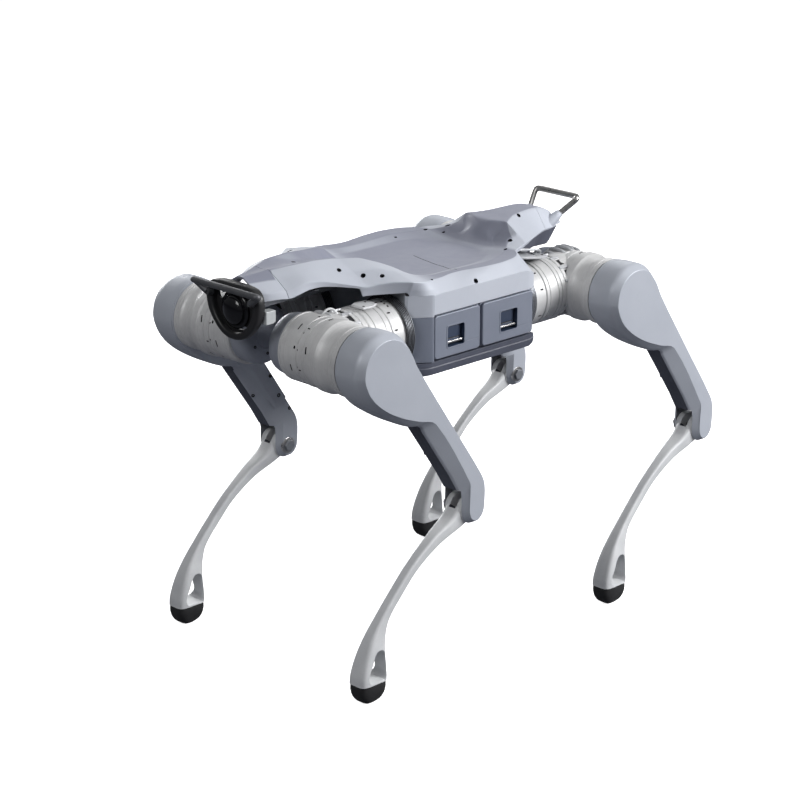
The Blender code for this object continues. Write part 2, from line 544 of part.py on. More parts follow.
    # shank: two cheeks and a pulley on the pin, a bowed arm, a hoop foot
    def rel(p):
        return (p[0] - KNEE[0], p[1] - KNEE[1])
    rings = []
    for f, r, w in SHANK:
        ring = section(rel(f), rel(r), w, s)
        rings.append([(x, y - s * YC, z) for x, y, z in ring])
    ob = finish("shank_" + tag, mesh_of(loft(rings), "shank"), "alloy", knee, (0, 0, 0))
    hoop = prism_y([rel(p) for p in HOOP], -.03, .03)
    boolean(ob, cutter("hoop_hole_" + tag, hoop, knee, (0, 0, 0)), "DIFFERENCE")
    groove = rod_bm("Y", (0, 0), .0215, *sorted((at(.1866), at(.1984))), 28)
    boolean(ob, cutter("rod_clearance_" + tag, groove, knee, (0, 0, 0)), "DIFFERENCE")
    lever = math.degrees(math.atan2(ROCKER[1], ROCKER[0]))
    outline = arc((0, 0), .0192, lever + 70, lever + 290, 17) + arc(ROCKER, .0062, lever - 80, lever + 80, 7)
    for i, (y0, y1) in enumerate(((.1769, .1864), (.1986, .2081))):
        cheek = prism_y(outline, *sorted((at(y0), at(y1))))
        boolean(ob, cutter("cheek_%d_%s" % (i, tag), cheek, knee, (0, 0, 0)), "UNION")
    peg = rod_bm("Y", ROCKER, .0030, *sorted((at(.1850), at(.2000))), 16)
    boolean(ob, cutter("rocker_pin_" + tag, peg, knee, (0, 0, 0)), "UNION")
    bore = rod_bm("Y", (0, 0), PIN_R + .0003, -.03, .03, 20)
    boolean(ob, cutter("shank_bore_" + tag, bore, knee, (0, 0, 0)), "DIFFERENCE")

    # rubber sole
    rings = []
    for z, a, b in SOLE:
        ring = []
        for i in range(20):
            u = 2 * math.pi * i / 20
            cx, cy = math.cos(u), math.sin(u)
            e = .62
            ring.append((.0170 - KNEE[0] + a * math.copysign(abs(cx) ** e, cx), b * math.copysign(abs(cy) ** e, cy),
                         (z - .0004 if z > .02 else z) - HIP_Z - KNEE[1]))
        rings.append(ring)
    finish("foot_sole_" + tag, mesh_of(loft(rings), "sole"), "rubber", knee, (0, 0, 0))


top_shell()
side_shells()
belly()
chassis()
batteries()
head()
tail()
for name, hip_x, side in (("front_left", HIP_X, 1), ("front_right", HIP_X, -1),
                          ("rear_left", -HIP_X, 1), ("rear_right", -HIP_X, -1)):
    leg(name, hip_x, side)
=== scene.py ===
import math

import bmesh
import bpy
from mathutils import Matrix, Vector
from mathutils.bvhtree import BVHTree


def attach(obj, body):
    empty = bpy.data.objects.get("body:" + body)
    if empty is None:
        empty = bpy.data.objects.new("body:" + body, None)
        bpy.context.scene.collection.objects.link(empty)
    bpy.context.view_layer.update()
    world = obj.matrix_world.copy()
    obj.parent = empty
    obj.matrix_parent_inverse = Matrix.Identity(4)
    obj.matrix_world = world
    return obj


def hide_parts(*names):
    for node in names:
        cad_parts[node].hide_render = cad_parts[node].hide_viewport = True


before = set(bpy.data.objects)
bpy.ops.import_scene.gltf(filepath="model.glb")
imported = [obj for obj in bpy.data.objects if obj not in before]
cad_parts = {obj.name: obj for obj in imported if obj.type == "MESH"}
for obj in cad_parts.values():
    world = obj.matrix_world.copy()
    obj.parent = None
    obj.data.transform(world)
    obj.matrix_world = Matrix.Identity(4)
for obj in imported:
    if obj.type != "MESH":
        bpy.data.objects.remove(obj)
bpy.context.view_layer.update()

XC = 0.045
HIP_X, HIP_Z, ROLL_Y = 0.250, 0.473, 0.080
KNEE = (-0.1655, -0.2365)
ROCKER = (-0.0165, 0.0113)
GAP_IN, GAP_OUT = 0.1765, 0.2085
YC = (GAP_IN + GAP_OUT) / 2
LEG_IN, LEG_OUT = 0.168, 0.2175
BODY_X, ROLL_R, PIN_R = 0.118, 0.0475, 0.005


# ================================================================ materials
def nodes_of(mat):
    return mat.node_tree.nodes, mat.node_tree.links


def coords(nt, scale=(1, 1, 1)):
    tc = nt.nodes.new("ShaderNodeTexCoord")
    mp = nt.nodes.new("ShaderNodeMapping")
    mp.inputs["Scale"].default_value = scale
    nt.links.new(tc.outputs["Object"], mp.inputs["Vector"])
    return mp.outputs["Vector"]


def noise(nt, vec, scale, detail=3.0, rough=0.5, distort=0.0):
    n = nt.nodes.new("ShaderNodeTexNoise")
    n.inputs["Scale"].default_value = scale
    n.inputs["Detail"].default_value = detail
    n.inputs["Roughness"].default_value = rough
    n.inputs["Distortion"].default_value = distort
    nt.links.new(vec, n.inputs["Vector"])
    return n.outputs["Fac"]


def ramp(nt, fac, stops):
    r = nt.nodes.new("ShaderNodeValToRGB")
    el = r.color_ramp.elements
    while len(el) < len(stops):
        el.new(0.5)
    for e, (p, c) in zip(el, stops):
        e.position = p
        e.color = (*c, 1) if len(c) == 3 else c
    nt.links.new(fac, r.inputs["Fac"])
    return r.outputs["Color"]


def maprange(nt, fac, lo, hi, a=0.0, b=1.0):
    m = nt.nodes.new("ShaderNodeMapRange")
    m.inputs["From Min"].default_value = a
    m.inputs["From Max"].default_value = b
    m.inputs["To Min"].default_value = lo
    m.inputs["To Max"].default_value = hi
    nt.links.new(fac, m.inputs["Value"])
    return m.outputs["Result"]


def mixc(nt, fac, a, b, mode="MIX"):
    m = nt.nodes.new("ShaderNodeMix")
    m.data_type = "RGBA"
    m.blend_type = mode
    for s, v in ((m.inputs[0], fac), (m.inputs[6], a), (m.inputs[7], b)):
        if isinstance(v, (int, float)):
            s.default_value = v
        elif isinstance(v, tuple):
            s.default_value = (*v, 1)
        else:
            nt.links.new(v, s)
    return m.outputs[2]


def bumps(nt, parts):
    """parts: (height socket, distance in metres, strength). Chained bump nodes."""
    last = None
    for h, dist, strength in parts:
        b = nt.nodes.new("ShaderNodeBump")
        b.inputs["Distance"].default_value = dist
        b.inputs["Strength"].default_value = strength
        nt.links.new(h, b.inputs["Height"])
        if last:
            nt.links.new(last, b.inputs["Normal"])
        last = b.outputs["Normal"]
    return last


def shader(name, metallic=0.0, specular=0.5, coat=0.0, coat_rough=0.2, sheen=0.0, aniso=0.0):
    m = bpy.data.materials.new(name)
    m.use_nodes = True
    b = m.node_tree.nodes["Principled BSDF"]
    b.inputs["Metallic"].default_value = metallic
    b.inputs["Specular IOR Level"].default_value = specular
    b.inputs["Coat Weight"].default_value = coat
    b.inputs["Coat Roughness"].default_value = coat_rough
    b.inputs["Sheen Weight"].default_value = sheen
    b.inputs["Anisotropic"].default_value = aniso
    return m, b, m.node_tree


# half width of the painted shade field in the centre of the top, along the body, and where it is used instead of the
# slope
TOP_SHADE_HALF_WIDTH = [(-.1650, .0380), (-.1600, .0410), (-.1510, .0600), (-.1350, .0660), (-.1180, .0780), (.0800, .0820), (.1000, .0700), (.1180, .0545),
         (.1380, .0402), (.1580, .0364), (.1790, .0317), (.2130, .0274), (.2460, .0247), (.2770, .0150), (.2790, .0300), (.3150, .0170)]
TOP_SHADE_FIELD_WEIGHT = [(-.1640, 0.0), (-.1590, 1.0), (-.1260, 1.0), (-.1160, 0.0), (.0600, 0.0), (.1000, 1.0), (.1950, 1.0), (.2250, 0.25), (.2500, 1.0)]


def paint(name, dark, light, rough=(0.34, 0.46), metallic=0.25, coat=0.12, peel=0.5, scratch=0.25, top=None):
    """Satin metallic paint: cloudy tone, fine flake, orange peel, faint handling marks; top gives painted shade on
    up-facing faces and the centre field.
    """
    m, b, nt = shader(name, metallic=metallic, specular=0.5, coat=coat, coat_rough=0.25)
    v = coords(nt)
    cloud = noise(nt, v, 9.0, 4.0, 0.55)
    flake = noise(nt, v, 2600.0, 1.0, 0.5)
    base = ramp(nt, cloud, [(0.25, dark), (0.75, light)])
    fl = maprange(nt, flake, 0.0, 0.10, 0.45, 0.85)
    col = mixc(nt, fl, base, tuple(min(1.0, c * 1.25 + 0.02) for c in light))
    grime = noise(nt, v, 46.0, 6.0, 0.65)
    gm = maprange(nt, grime, 0.0, 0.10, 0.55, 0.80)
    col = mixc(nt, gm, col, tuple(c * 0.72 for c in dark))
    if top:
        # painted shade: a darker tone on faces that look straight up and on the centre field, where little light falls
        geo = nt.nodes.new("ShaderNodeNewGeometry")
        sep = nt.nodes.new("ShaderNodeSeparateXYZ")
        nt.links.new(geo.outputs["Normal"], sep.inputs[0])
        up = maprange(nt, sep.outputs["Z"], 0.0, 1.0, 0.925, 0.985)
        place = nt.nodes.new("ShaderNodeSeparateXYZ")
        nt.links.new(v, place.inputs[0])
        along = maprange(nt, place.outputs["X"], 0.0, 1.0, -0.20, 0.40)
        edge = ramp(nt, along, [((x + 0.045 + 0.20) / 0.60, (w, w, w)) for x, w in TOP_SHADE_HALF_WIDTH])
        away = nt.nodes.new("ShaderNodeMath")
        away.operation = "ABSOLUTE"
        nt.links.new(place.outputs["Y"], away.inputs[0])
        past = nt.nodes.new("ShaderNodeMath")
        past.operation = "SUBTRACT"
        nt.links.new(edge, past.inputs[0])
        nt.links.new(away.outputs[0], past.inputs[1])
        inner = maprange(nt, past.outputs[0], 0.0, 1.0, -0.0022, 0.0006)
        zone = ramp(nt, along, [((x + 0.045 + 0.20) / 0.60, (w, w, w)) for x, w in TOP_SHADE_FIELD_WEIGHT])
        tone = mixc(nt, zone, up, inner)
        col = mixc(nt, tone, col, mixc(nt, gm, tuple(top), tuple(c * 0.8 for c in top)))
    nt.links.new(col, b.inputs["Base Color"])
    rn = noise(nt, v, 70.0, 5.0, 0.6)
    nt.links.new(maprange(nt, rn, rough[0], rough[1], 0.3, 0.7), b.inputs["Roughness"])
    stretch = coords(nt, (14, 260, 260))
    scr = noise(nt, stretch, 1.0, 2.0, 0.5)
    pl = noise(nt, v, 900.0, 2.0, 0.5)
    nt.links.new(bumps(nt, [(pl, 0.00006, peel), (scr, 0.00003, scratch)]), b.inputs["Normal"])
    return m


def moulded(name, dark, light, rough=(0.42, 0.58), grain=1500.0, depth=0.00007):
    """Moulded plastic with a fine texture."""
    m, b, nt = shader(name, specular=0.45)
    v = coords(nt)
    cloud = noise(nt, v, 14.0, 4.0, 0.6)
    col = ramp(nt, cloud, [(0.3, dark), (0.7, light)])
    speck = maprange(nt, noise(nt, v, grain * 0.8, 2.0, 0.5), 0.0, 0.25, 0.55, 0.85)
    col = mixc(nt, speck, col, tuple(min(1.0, c * 1.3 + 0.01) for c in light))
    nt.links.new(col, b.inputs["Base Color"])
    nt.links.new(maprange(nt, noise(nt, v, 55.0, 4.0, 0.6), rough[0], rough[1], 0.3, 0.7), b.inputs["Roughness"])
    g = noise(nt, v, grain, 3.0, 0.6)
    nt.links.new(bumps(nt, [(g, depth, 0.7)]), b.inputs["Normal"])
    return m


def machined(name, dark, light, axis, rough=(0.22, 0.36), metallic=0.9, lines=900.0, depth=0.00004, stain=0.35):
    """Bare turned metal: fine lines square to the turning axis, and handling stains."""
    m, b, nt = shader(name, metallic=metallic, specular=0.5, aniso=0.0)
    s = {"X": (lines, 6, 6), "Y": (6, lines, 6), "Z": (6, 6, lines)}[axis]
    fine = noise(nt, coords(nt, s), 1.0, 2.0, 0.6)
    v = coords(nt)
    blot = noise(nt, v, 26.0, 6.0, 0.62)
    col = ramp(nt, blot, [(0.28, dark), (0.66, light)])
    col = mixc(nt, maprange(nt, fine, 0.0, 0.35, 0.35, 0.7), col, tuple(c * 0.80 for c in dark))
    st = maprange(nt, noise(nt, v, 120.0, 5.0, 0.7, 0.4), 0.0, stain, 0.58, 0.80)
    col = mixc(nt, st, col, tuple(c * 0.55 for c in dark))
    nt.links.new(col, b.inputs["Base Color"])
    rr = noise(nt, v, 60.0, 5.0, 0.6)
    nt.links.new(maprange(nt, rr, rough[0], rough[1], 0.3, 0.7), b.inputs["Roughness"])
    nt.links.new(bumps(nt, [(fine, depth, 0.8)]), b.inputs["Normal"])
    return m


def cast(name, dark, light, rough=(0.32, 0.46), metallic=0.75, grain=420.0, depth=0.00010):
    """Blasted cast alloy."""
    m, b, nt = shader(name, metallic=metallic, specular=0.5)
    v = coords(nt)
    cloud = noise(nt, v, 18.0, 5.0, 0.6)
    col = ramp(nt, cloud, [(0.3, dark), (0.7, light)])
    pit = maprange(nt, noise(nt, v, grain, 3.0, 0.6), 0.0, 0.22, 0.56, 0.80)
    col = mixc(nt, pit, col, tuple(c * 0.6 for c in dark))
    nt.links.new(col, b.inputs["Base Color"])
    nt.links.new(maprange(nt, noise(nt, v, 50.0, 4.0, 0.6), rough[0], rough[1], 0.3, 0.7), b.inputs["Roughness"])
    g = noise(nt, v, grain * 2.2, 3.0, 0.6)
    nt.links.new(bumps(nt, [(g, depth, 0.55)]), b.inputs["Normal"])
    return m


def rubbery(name, dark, light, rough=(0.62, 0.80), grain=700.0, depth=0.00012):
    m, b, nt = shader(name, specular=0.35, sheen=0.05)
    v = coords(nt)
    dust = noise(nt, v, 30.0, 6.0, 0.7)
    col = ramp(nt, dust, [(0.35, dark), (0.75, light)])
    nt.links.new(col, b.inputs["Base Color"])
    nt.links.new(maprange(nt, noise(nt, v, 80.0, 4.0, 0.6), rough[0], rough[1], 0.3, 0.7), b.inputs["Roughness"])
    nt.links.new(bumps(nt, [(noise(nt, v, grain, 3.0, 0.6), depth, 0.7)]), b.inputs["Normal"])
    return m


M = {
    # top: painted shade colour for the up-facing faces and the centre field
    "shell": paint("shell_paint", (0.450, 0.475, 0.535), (0.500, 0.525, 0.585), rough=(0.56, 0.68), metallic=0.08, coat=0.02, top=(0.250, 0.262, 0.325)),
    # deck: a darker copy of the shell paint, painted shade for the top
    "deck": paint("deck_painted_shade", (0.235, 0.245, 0.310), (0.275, 0.285, 0.350), rough=(0.40, 0.52), metallic=0.15, coat=0.05),
    "shade": paint("shaded_paint", (0.150, 0.158, 0.205), (0.180, 0.190, 0.240), rough=(0.42, 0.55), metallic=0.12, coat=0.03),
    "thigh": paint("thigh_paint", (0.425, 0.450, 0.505), (0.475, 0.500, 0.555), rough=(0.42, 0.54), metallic=0.15, coat=0.05),
    "dark": moulded("dark_plastic", (0.048, 0.053, 0.076), (0.076, 0.083, 0.113)),
    # hull: dark paint that is painted shade under the tail's hump
    "hull": paint("hull_painted_shade", (0.080, 0.085, 0.115), (0.108, 0.113, 0.145), rough=(0.42, 0.55), metallic=0.12, coat=0.03),
    "door": paint("door_paint", (0.185, 0.205, 0.258), (0.220, 0.240, 0.296), rough=(0.38, 0.5), metallic=0.12, coat=0.05),
    "pocket": moulded("pocket_plastic", (0.018, 0.030, 0.060), (0.030, 0.045, 0.085)),
    "barrel_y": machined("barrel_metal_y", (0.54, 0.54, 0.545), (0.70, 0.70, 0.70), "Y", metallic=0.18, rough=(0.40, 0.54)),
    "barrel_x": machined("barrel_metal_x", (0.54, 0.54, 0.545), (0.70, 0.70, 0.70), "X", metallic=0.18, rough=(0.40, 0.54)),
    "cap": paint("cap_paint", (0.30, 0.32, 0.37), (0.37, 0.39, 0.45), rough=(0.36, 0.48), metallic=0.3),
    "alloy": cast("shank_alloy", (0.60, 0.61, 0.625), (0.72, 0.73, 0.74), metallic=0.12, rough=(0.44, 0.58)),
    "frame": cast("frame_alloy", (0.17, 0.18, 0.205), (0.26, 0.27, 0.295), metallic=0.4),
    "bracket": cast("bracket_alloy", (0.40, 0.41, 0.43), (0.60, 0.61, 0.63), metallic=0.25, rough=(0.36, 0.50), grain=160.0, depth=0.0004),
    "steel": machined("brushed_steel", (0.40, 0.395, 0.39), (0.60, 0.59, 0.58), "Y", metallic=1.0, rough=(0.24, 0.38), lines=500.0),
    "screw": machined("black_screw", (0.018, 0.018, 0.022), (0.036, 0.036, 0.040), "Y", metallic=0.8, rough=(0.30, 0.45)),
    "bar": cast("dark_bar", (0.075, 0.078, 0.085), (0.115, 0.118, 0.128), metallic=0.35, rough=(0.40, 0.54)),
    "rubber": rubbery("sole_rubber", (0.011, 0.011, 0.012), (0.026, 0.026, 0.028)),
    "gasket": rubbery("gasket_rubber", (0.016, 0.016, 0.018), (0.034, 0.034, 0.037), rough=(0.45, 0.62)),
    "guard": moulded("guard_plastic", (0.010, 0.010, 0.011), (0.020, 0.020, 0.022), rough=(0.34, 0.48)),
    "lens": moulded("lens_cover", (0.004, 0.004, 0.005), (0.007, 0.007, 0.009), rough=(0.08, 0.16), grain=120.0, depth=0.000005),
    "lamp": cast("lamp_alloy", (0.44, 0.46, 0.47), (0.56, 0.58, 0.59), metallic=0.15, rough=(0.40, 0.55)),
    "board": moulded("module_case", (0.020, 0.035, 0.030), (0.035, 0.055, 0.045)),
    # slot: black for cut slots, holes, grooves, slits, pockets and window backs, painted shade inside them
    "slot": moulded("painted_shade_black", (0.012, 0.012, 0.014), (0.022, 0.022, 0.025)),
    "line": moulded("seam_shadow", (0.030, 0.032, 0.040), (0.045, 0.048, 0.058)),
}


# ================================================================ mesh tools
def new_piece(name, bm, mat, body, nodes=(), slot=None, sharp=32, flip=False):
    bmesh.ops.remove_doubles(bm, verts=bm.verts, dist=1e-6)
    bmesh.ops.recalc_face_normals(bm, faces=bm.faces)
    for f in bm.faces:
        f.smooth = True
    lim = math.radians(sharp)
    for e in bm.edges:
        if len(e.link_faces) == 2 and e.calc_face_angle(0) > lim:
            e.smooth = False
    me = bpy.data.meshes.new(name)
    bm.to_mesh(me)
    bm.free()
    ob = bpy.data.objects.new(name, me)
    bpy.context.scene.collection.objects.link(ob)
    me.materials.append(mat)
    ob["body"] = body
    READY.append((ob, body, tuple(nodes), slot))
    return ob


READY = []


def apply_mods(ob):
    """Evaluated mesh written back, so every piece ends as a plain mesh."""
    dg = bpy.context.evaluated_depsgraph_get()
    me = bpy.data.meshes.new_from_object(ob.evaluated_get(dg))
    old = ob.data
    ob.modifiers.clear()
    ob.data = me
    return ob


def cut(ob, bm, op="DIFFERENCE", selfcut=False):
    bmesh.ops.recalc_face_normals(bm, faces=bm.faces)
    me = bpy.data.meshes.new("cut")
    bm.to_mesh(me)
    bm.free()
    c = bpy.data.objects.new("cut", me)
    bpy.context.scene.collection.objects.link(c)
    m = ob.modifiers.new("cut", "BOOLEAN")
    m.operation = op
    m.solver = "EXACT"
    m.use_self = selfcut
    m.object = c
    bpy.context.view_layer.update()
    apply_mods(ob)
    bpy.data.objects.remove(c, do_unlink=True)
    return ob


def resharp(ob, sharp=32):
    bm = bmesh.new()
    bm.from_mesh(ob.data)
    lim = math.radians(sharp)
    for f in bm.faces:
        f.smooth = True
    for e in bm.edges:
        e.smooth = not (len(e.link_faces) == 2 and e.calc_face_angle(0) > lim)
    bm.to_mesh(ob.data)
    bm.free()
    # large faces keep their own direction beside narrow bevels
    m = ob.modifiers.new("weights", "WEIGHTED_NORMAL")
    m.mode = "FACE_AREA"
    m.weight = 80
    m.keep_sharp = True
    bpy.context.view_layer.update()
    apply_mods(ob)


def bevel(ob, width, segments=2, angle=28, sharp=60):
    m = ob.modifiers.new("b", "BEVEL")
    m.width = width
    m.segments = segments
    m.limit_method = "ANGLE"
    m.angle_limit = math.radians(angle)
    m.use_clamp_overlap = True
    bpy.context.view_layer.update()
    apply_mods(ob)
    resharp(ob, sharp)
    return ob


def loft(rings, cap=True, closed=True, bm=None):
    bm = bm or bmesh.new()
    rows = [[bm.verts.new(p) for p in ring] for ring in rings]
    n = len(rows[0])
    for a, b in zip(rows, rows[1:]):
        for i in range(n if closed else n - 1):
            j = (i + 1) % n
            bm.faces.new((a[i], a[j], b[j], b[i]))
    if cap and closed:
        bm.faces.new(rows[0])
        bm.faces.new(rows[-1])
    return bm


def spin(profile, origin, axis, seg=72, sign=1, bm=None, closed=False):
    """Turned surface. profile (radius, along); axis 'X' or 'Y'."""
    bm = bm or bmesh.new()
    o = Vector(origin)
    rows = []
    for r, a in profile:
        a *= sign
        if r < 1e-7:
            p = o + (Vector((a, 0, 0)) if axis == "X" else Vector((0, a, 0)))
            rows.append([bm.verts.new(p)])
            continue
        ring = []
        for i in range(seg):
            t = 2 * math.pi * i / seg
            c, s = r * math.cos(t), r * math.sin(t)
            ring.append(bm.verts.new(o + (Vector((a, c, s)) if axis == "X" else Vector((c, a, s)))))
        rows.append(ring)
    pairs = list(zip(rows, rows[1:]))
    if closed:
        pairs.append((rows[-1], rows[0]))
    for a, b in pairs:
        if len(a) == 1 and len(b) == 1:
            continue
        for i in range(seg):
            j = (i + 1) % seg
            if len(a) == 1:
                bm.faces.new((a[0], b[j], b[i]))
            elif len(b) == 1:
                bm.faces.new((a[i], a[j], b[0]))
            else:
                bm.faces.new((a[i], a[j], b[j], b[i]))
    return bm


def catmull(pts, n, corners=(), closed=False):
    """Dense points through pts; straight on both sides of a corner index."""
    out = []
    m = len(pts)
    last = m if closed else m - 1
    for i in range(last):
        p1, p2 = pts[i], pts[(i + 1) % m]
        p0 = pts[(i - 1) % m] if (closed or i > 0) else p1
        p3 = pts[(i + 2) % m] if (closed or i + 2 < m) else p2
        c1, c2 = i in corners, (i + 1) % m in corners
        for k in range(n):
            t = k / n
            if c1 and c2:
                q = [a + (b - a) * t for a, b in zip(p1, p2)]
            else:
                m1 = [(b - a) / 2 for a, b in zip(p0, p2)]
                m2 = [(b - a) / 2 for a, b in zip(p1, p3)]
                if c1:
                    m1 = [(b - a) for a, b in zip(p1, p2)]
                if c2:
                    m2 = [(b - a) for a, b in zip(p1, p2)]
                t2, t3 = t * t, t * t * t
                q = [a * (2 * t3 - 3 * t2 + 1) + u * (t3 - 2 * t2 + t) + b * (-2 * t3 + 3 * t2) + v * (t3 - t2)
                     for a, b, u, v in zip(p1, p2, m1, m2)]
            out.append(tuple(q))
    if not closed:
        out.append(tuple(pts[-1]))
    return out


def arc(c, r, a0, a1, n):
    return [(c[0] + r * math.cos(math.radians(a0 + (a1 - a0) * i / (n - 1))),
             c[1] + r * math.sin(math.radians(a0 + (a1 - a0) * i / (n - 1)))) for i in range(n)]


def box(x0, x1, y0, y1, z0, z1, bm=None):
    bm = bm or bmesh.new()
    v = bmesh.ops.create_cube(bm, size=1.0)["verts"]
    bmesh.ops.scale(bm, vec=(x1 - x0, y1 - y0, z1 - z0), verts=v)
    bmesh.ops.translate(bm, vec=((x0 + x1) / 2, (y0 + y1) / 2, (z0 + z1) / 2), verts=v)
    return bm


def sweep(path, r, seg=16, bm=None, cap=True, radii=None):
    """Round tube along a list of points."""
    bm = bm or bmesh.new()
    P = [Vector(p) for p in path]
    t0 = (P[1] - P[0]).normalized()
    up = Vector((0, 0, 1)) if abs(t0.z) < 0.9 else Vector((1, 0, 0))
    n = t0.cross(up).normalized()
    rows = []
    for i, p in enumerate(P):
        t = (P[min(i + 1, len(P) - 1)] - P[max(i - 1, 0)]).normalized()
        n = (n - t * n.dot(t)).normalized()
        b = t.cross(n)
        rr = radii[i] if radii else r
        rows.append([p + (n * math.cos(2 * math.pi * k / seg) + b * math.sin(2 * math.pi * k / seg)) * rr for k in range(seg)])
    return loft(rows, cap=cap, bm=bm)


def rounded(corners, radius, n=6):
    out = []
    for i, p in enumerate(corners):
        p = Vector(p)
        if i in (0, len(corners) - 1):
            out.append(p)
            continue
        a, b = Vector(corners[i - 1]), Vector(corners[i + 1])
        d1, d2 = (a - p), (b - p)
        rr = min(radius, d1.length * 0.48, d2.length * 0.48)
        s, e = p + d1.normalized() * rr, p + d2.normalized() * rr
        for k in range(n + 1):
            t = k / n
            out.append(s * (1 - t) ** 2 + p * 2 * t * (1 - t) + e * t ** 2)
    return out


def disc_screw(bm, at, normal, r, h=0.0006, hexr=None, seg=28):
    """Socket screw head: a low turned head with a hexagonal pocket."""
    at, n = Vector(at), Vector(normal).normalized()
    u = n.orthogonal().normalized()
    w = n.cross(u)
    hexr = hexr or r * 0.5

    def ring(rad, d, k=seg, ph=0.0):
        return [bm.verts.new(at + n * d + (u * math.cos(2 * math.pi * i / k + ph) + w * math.sin(2 * math.pi * i / k + ph)) * rad) for i in range(k)]

    def hexring(rad, d):
        out = []
        for i in range(seg):
            t = 2 * math.pi * i / seg
            f = math.cos(math.pi / 6) / math.cos((t % (math.pi / 3)) - math.pi / 6)
            out.append(bm.verts.new(at + n * d + (u * math.cos(t) + w * math.sin(t)) * rad * f))
        return out
    rows = [ring(r, -h * 1.5), ring(r, h * 0.5), ring(r * 0.93, h), hexring(hexr, h), hexring(hexr * 0.97, -h * 1.1)]
    for a, b in zip(rows, rows[1:]):
        for i in range(seg):
            j = (i + 1) % seg
            bm.faces.new((a[i], a[j], b[j], b[i]))
    bm.faces.new(rows[-1])
    bm.faces.new(rows[0])
    return bm


def W(x, y, z):
    return (x + XC, y, z)


# ================================================================ curves
def pchip(xs, ys, x):
    """Monotone cubic through (xs, ys), xs rising; no overshoot."""
    n = len(xs)
    if x <= xs[0]:
        return ys[0]
    if x >= xs[-1]:
        return ys[-1]
    h = [xs[i + 1] - xs[i] for i in range(n - 1)]
    d = [(ys[i + 1] - ys[i]) / h[i] for i in range(n - 1)]
    m = [d[0]]
    for i in range(1, n - 1):
        if d[i - 1] * d[i] <= 0:
            m.append(0.0)
        else:
            w1, w2 = 2 * h[i] + h[i - 1], h[i] + 2 * h[i - 1]
            m.append((w1 + w2) / (w1 / d[i - 1] + w2 / d[i]))
    m.append(d[-1])
    k = max(i for i in range(n - 1) if xs[i] <= x)
    t = (x - xs[k]) / h[k]
    t2, t3 = t * t, t * t * t
    return (ys[k] * (2 * t3 - 3 * t2 + 1) + m[k] * h[k] * (t3 - 2 * t2 + t)
            + ys[k + 1] * (-2 * t3 + 3 * t2) + m[k + 1] * h[k] * (t3 - t2))


def smooth(pts, n, closed=True, corners=()):
    """Dense curve through pts; long straight runs stay straight."""
    P = [Vector(p) for p in pts]
    m = len(P)
    out = []
    tan = []
    for i in range(m):
        a = P[(i - 1) % m] if (closed or i > 0) else P[i]
        b = P[(i + 1) % m] if (closed or i < m - 1) else P[i]
        tan.append((b - a).normalized())
    for i in range(m if closed else m - 1):
        j = (i + 1) % m
        seg = P[j] - P[i]
        ln = seg.length
        ta = seg.normalized() if i in corners else tan[i]
        tb = seg.normalized() if j in corners else tan[j]
        for k in range(n):
            t = k / n
            t2, t3 = t * t, t * t * t
            out.append(P[i] * (2 * t3 - 3 * t2 + 1) + ta * ln * (t3 - 2 * t2 + t) + P[j] * (-2 * t3 + 3 * t2) + tb * ln * (t3 - t2))
    if not closed:
        out.append(P[-1])
    return out


def fillet(path, radii, n=4):
    """3D path with a short arc at each inner corner; radii per corner."""
    out = [Vector(path[0])]
    for i in range(1, len(path) - 1):
        p, a, b = Vector(path[i]), Vector(path[i - 1]), Vector(path[i + 1])
        d1, d2 = a - p, b - p
        r = min(radii[i], d1.length * .49, d2.length * .49)
        s, e = p + d1.normalized() * r, p + d2.normalized() * r
        for k in range(n + 1):
            t = k / n
            out.append(s * (1 - t) ** 2 + p * 2 * t * (1 - t) + e * t ** 2)
    out.append(Vector(path[-1]))
    return out


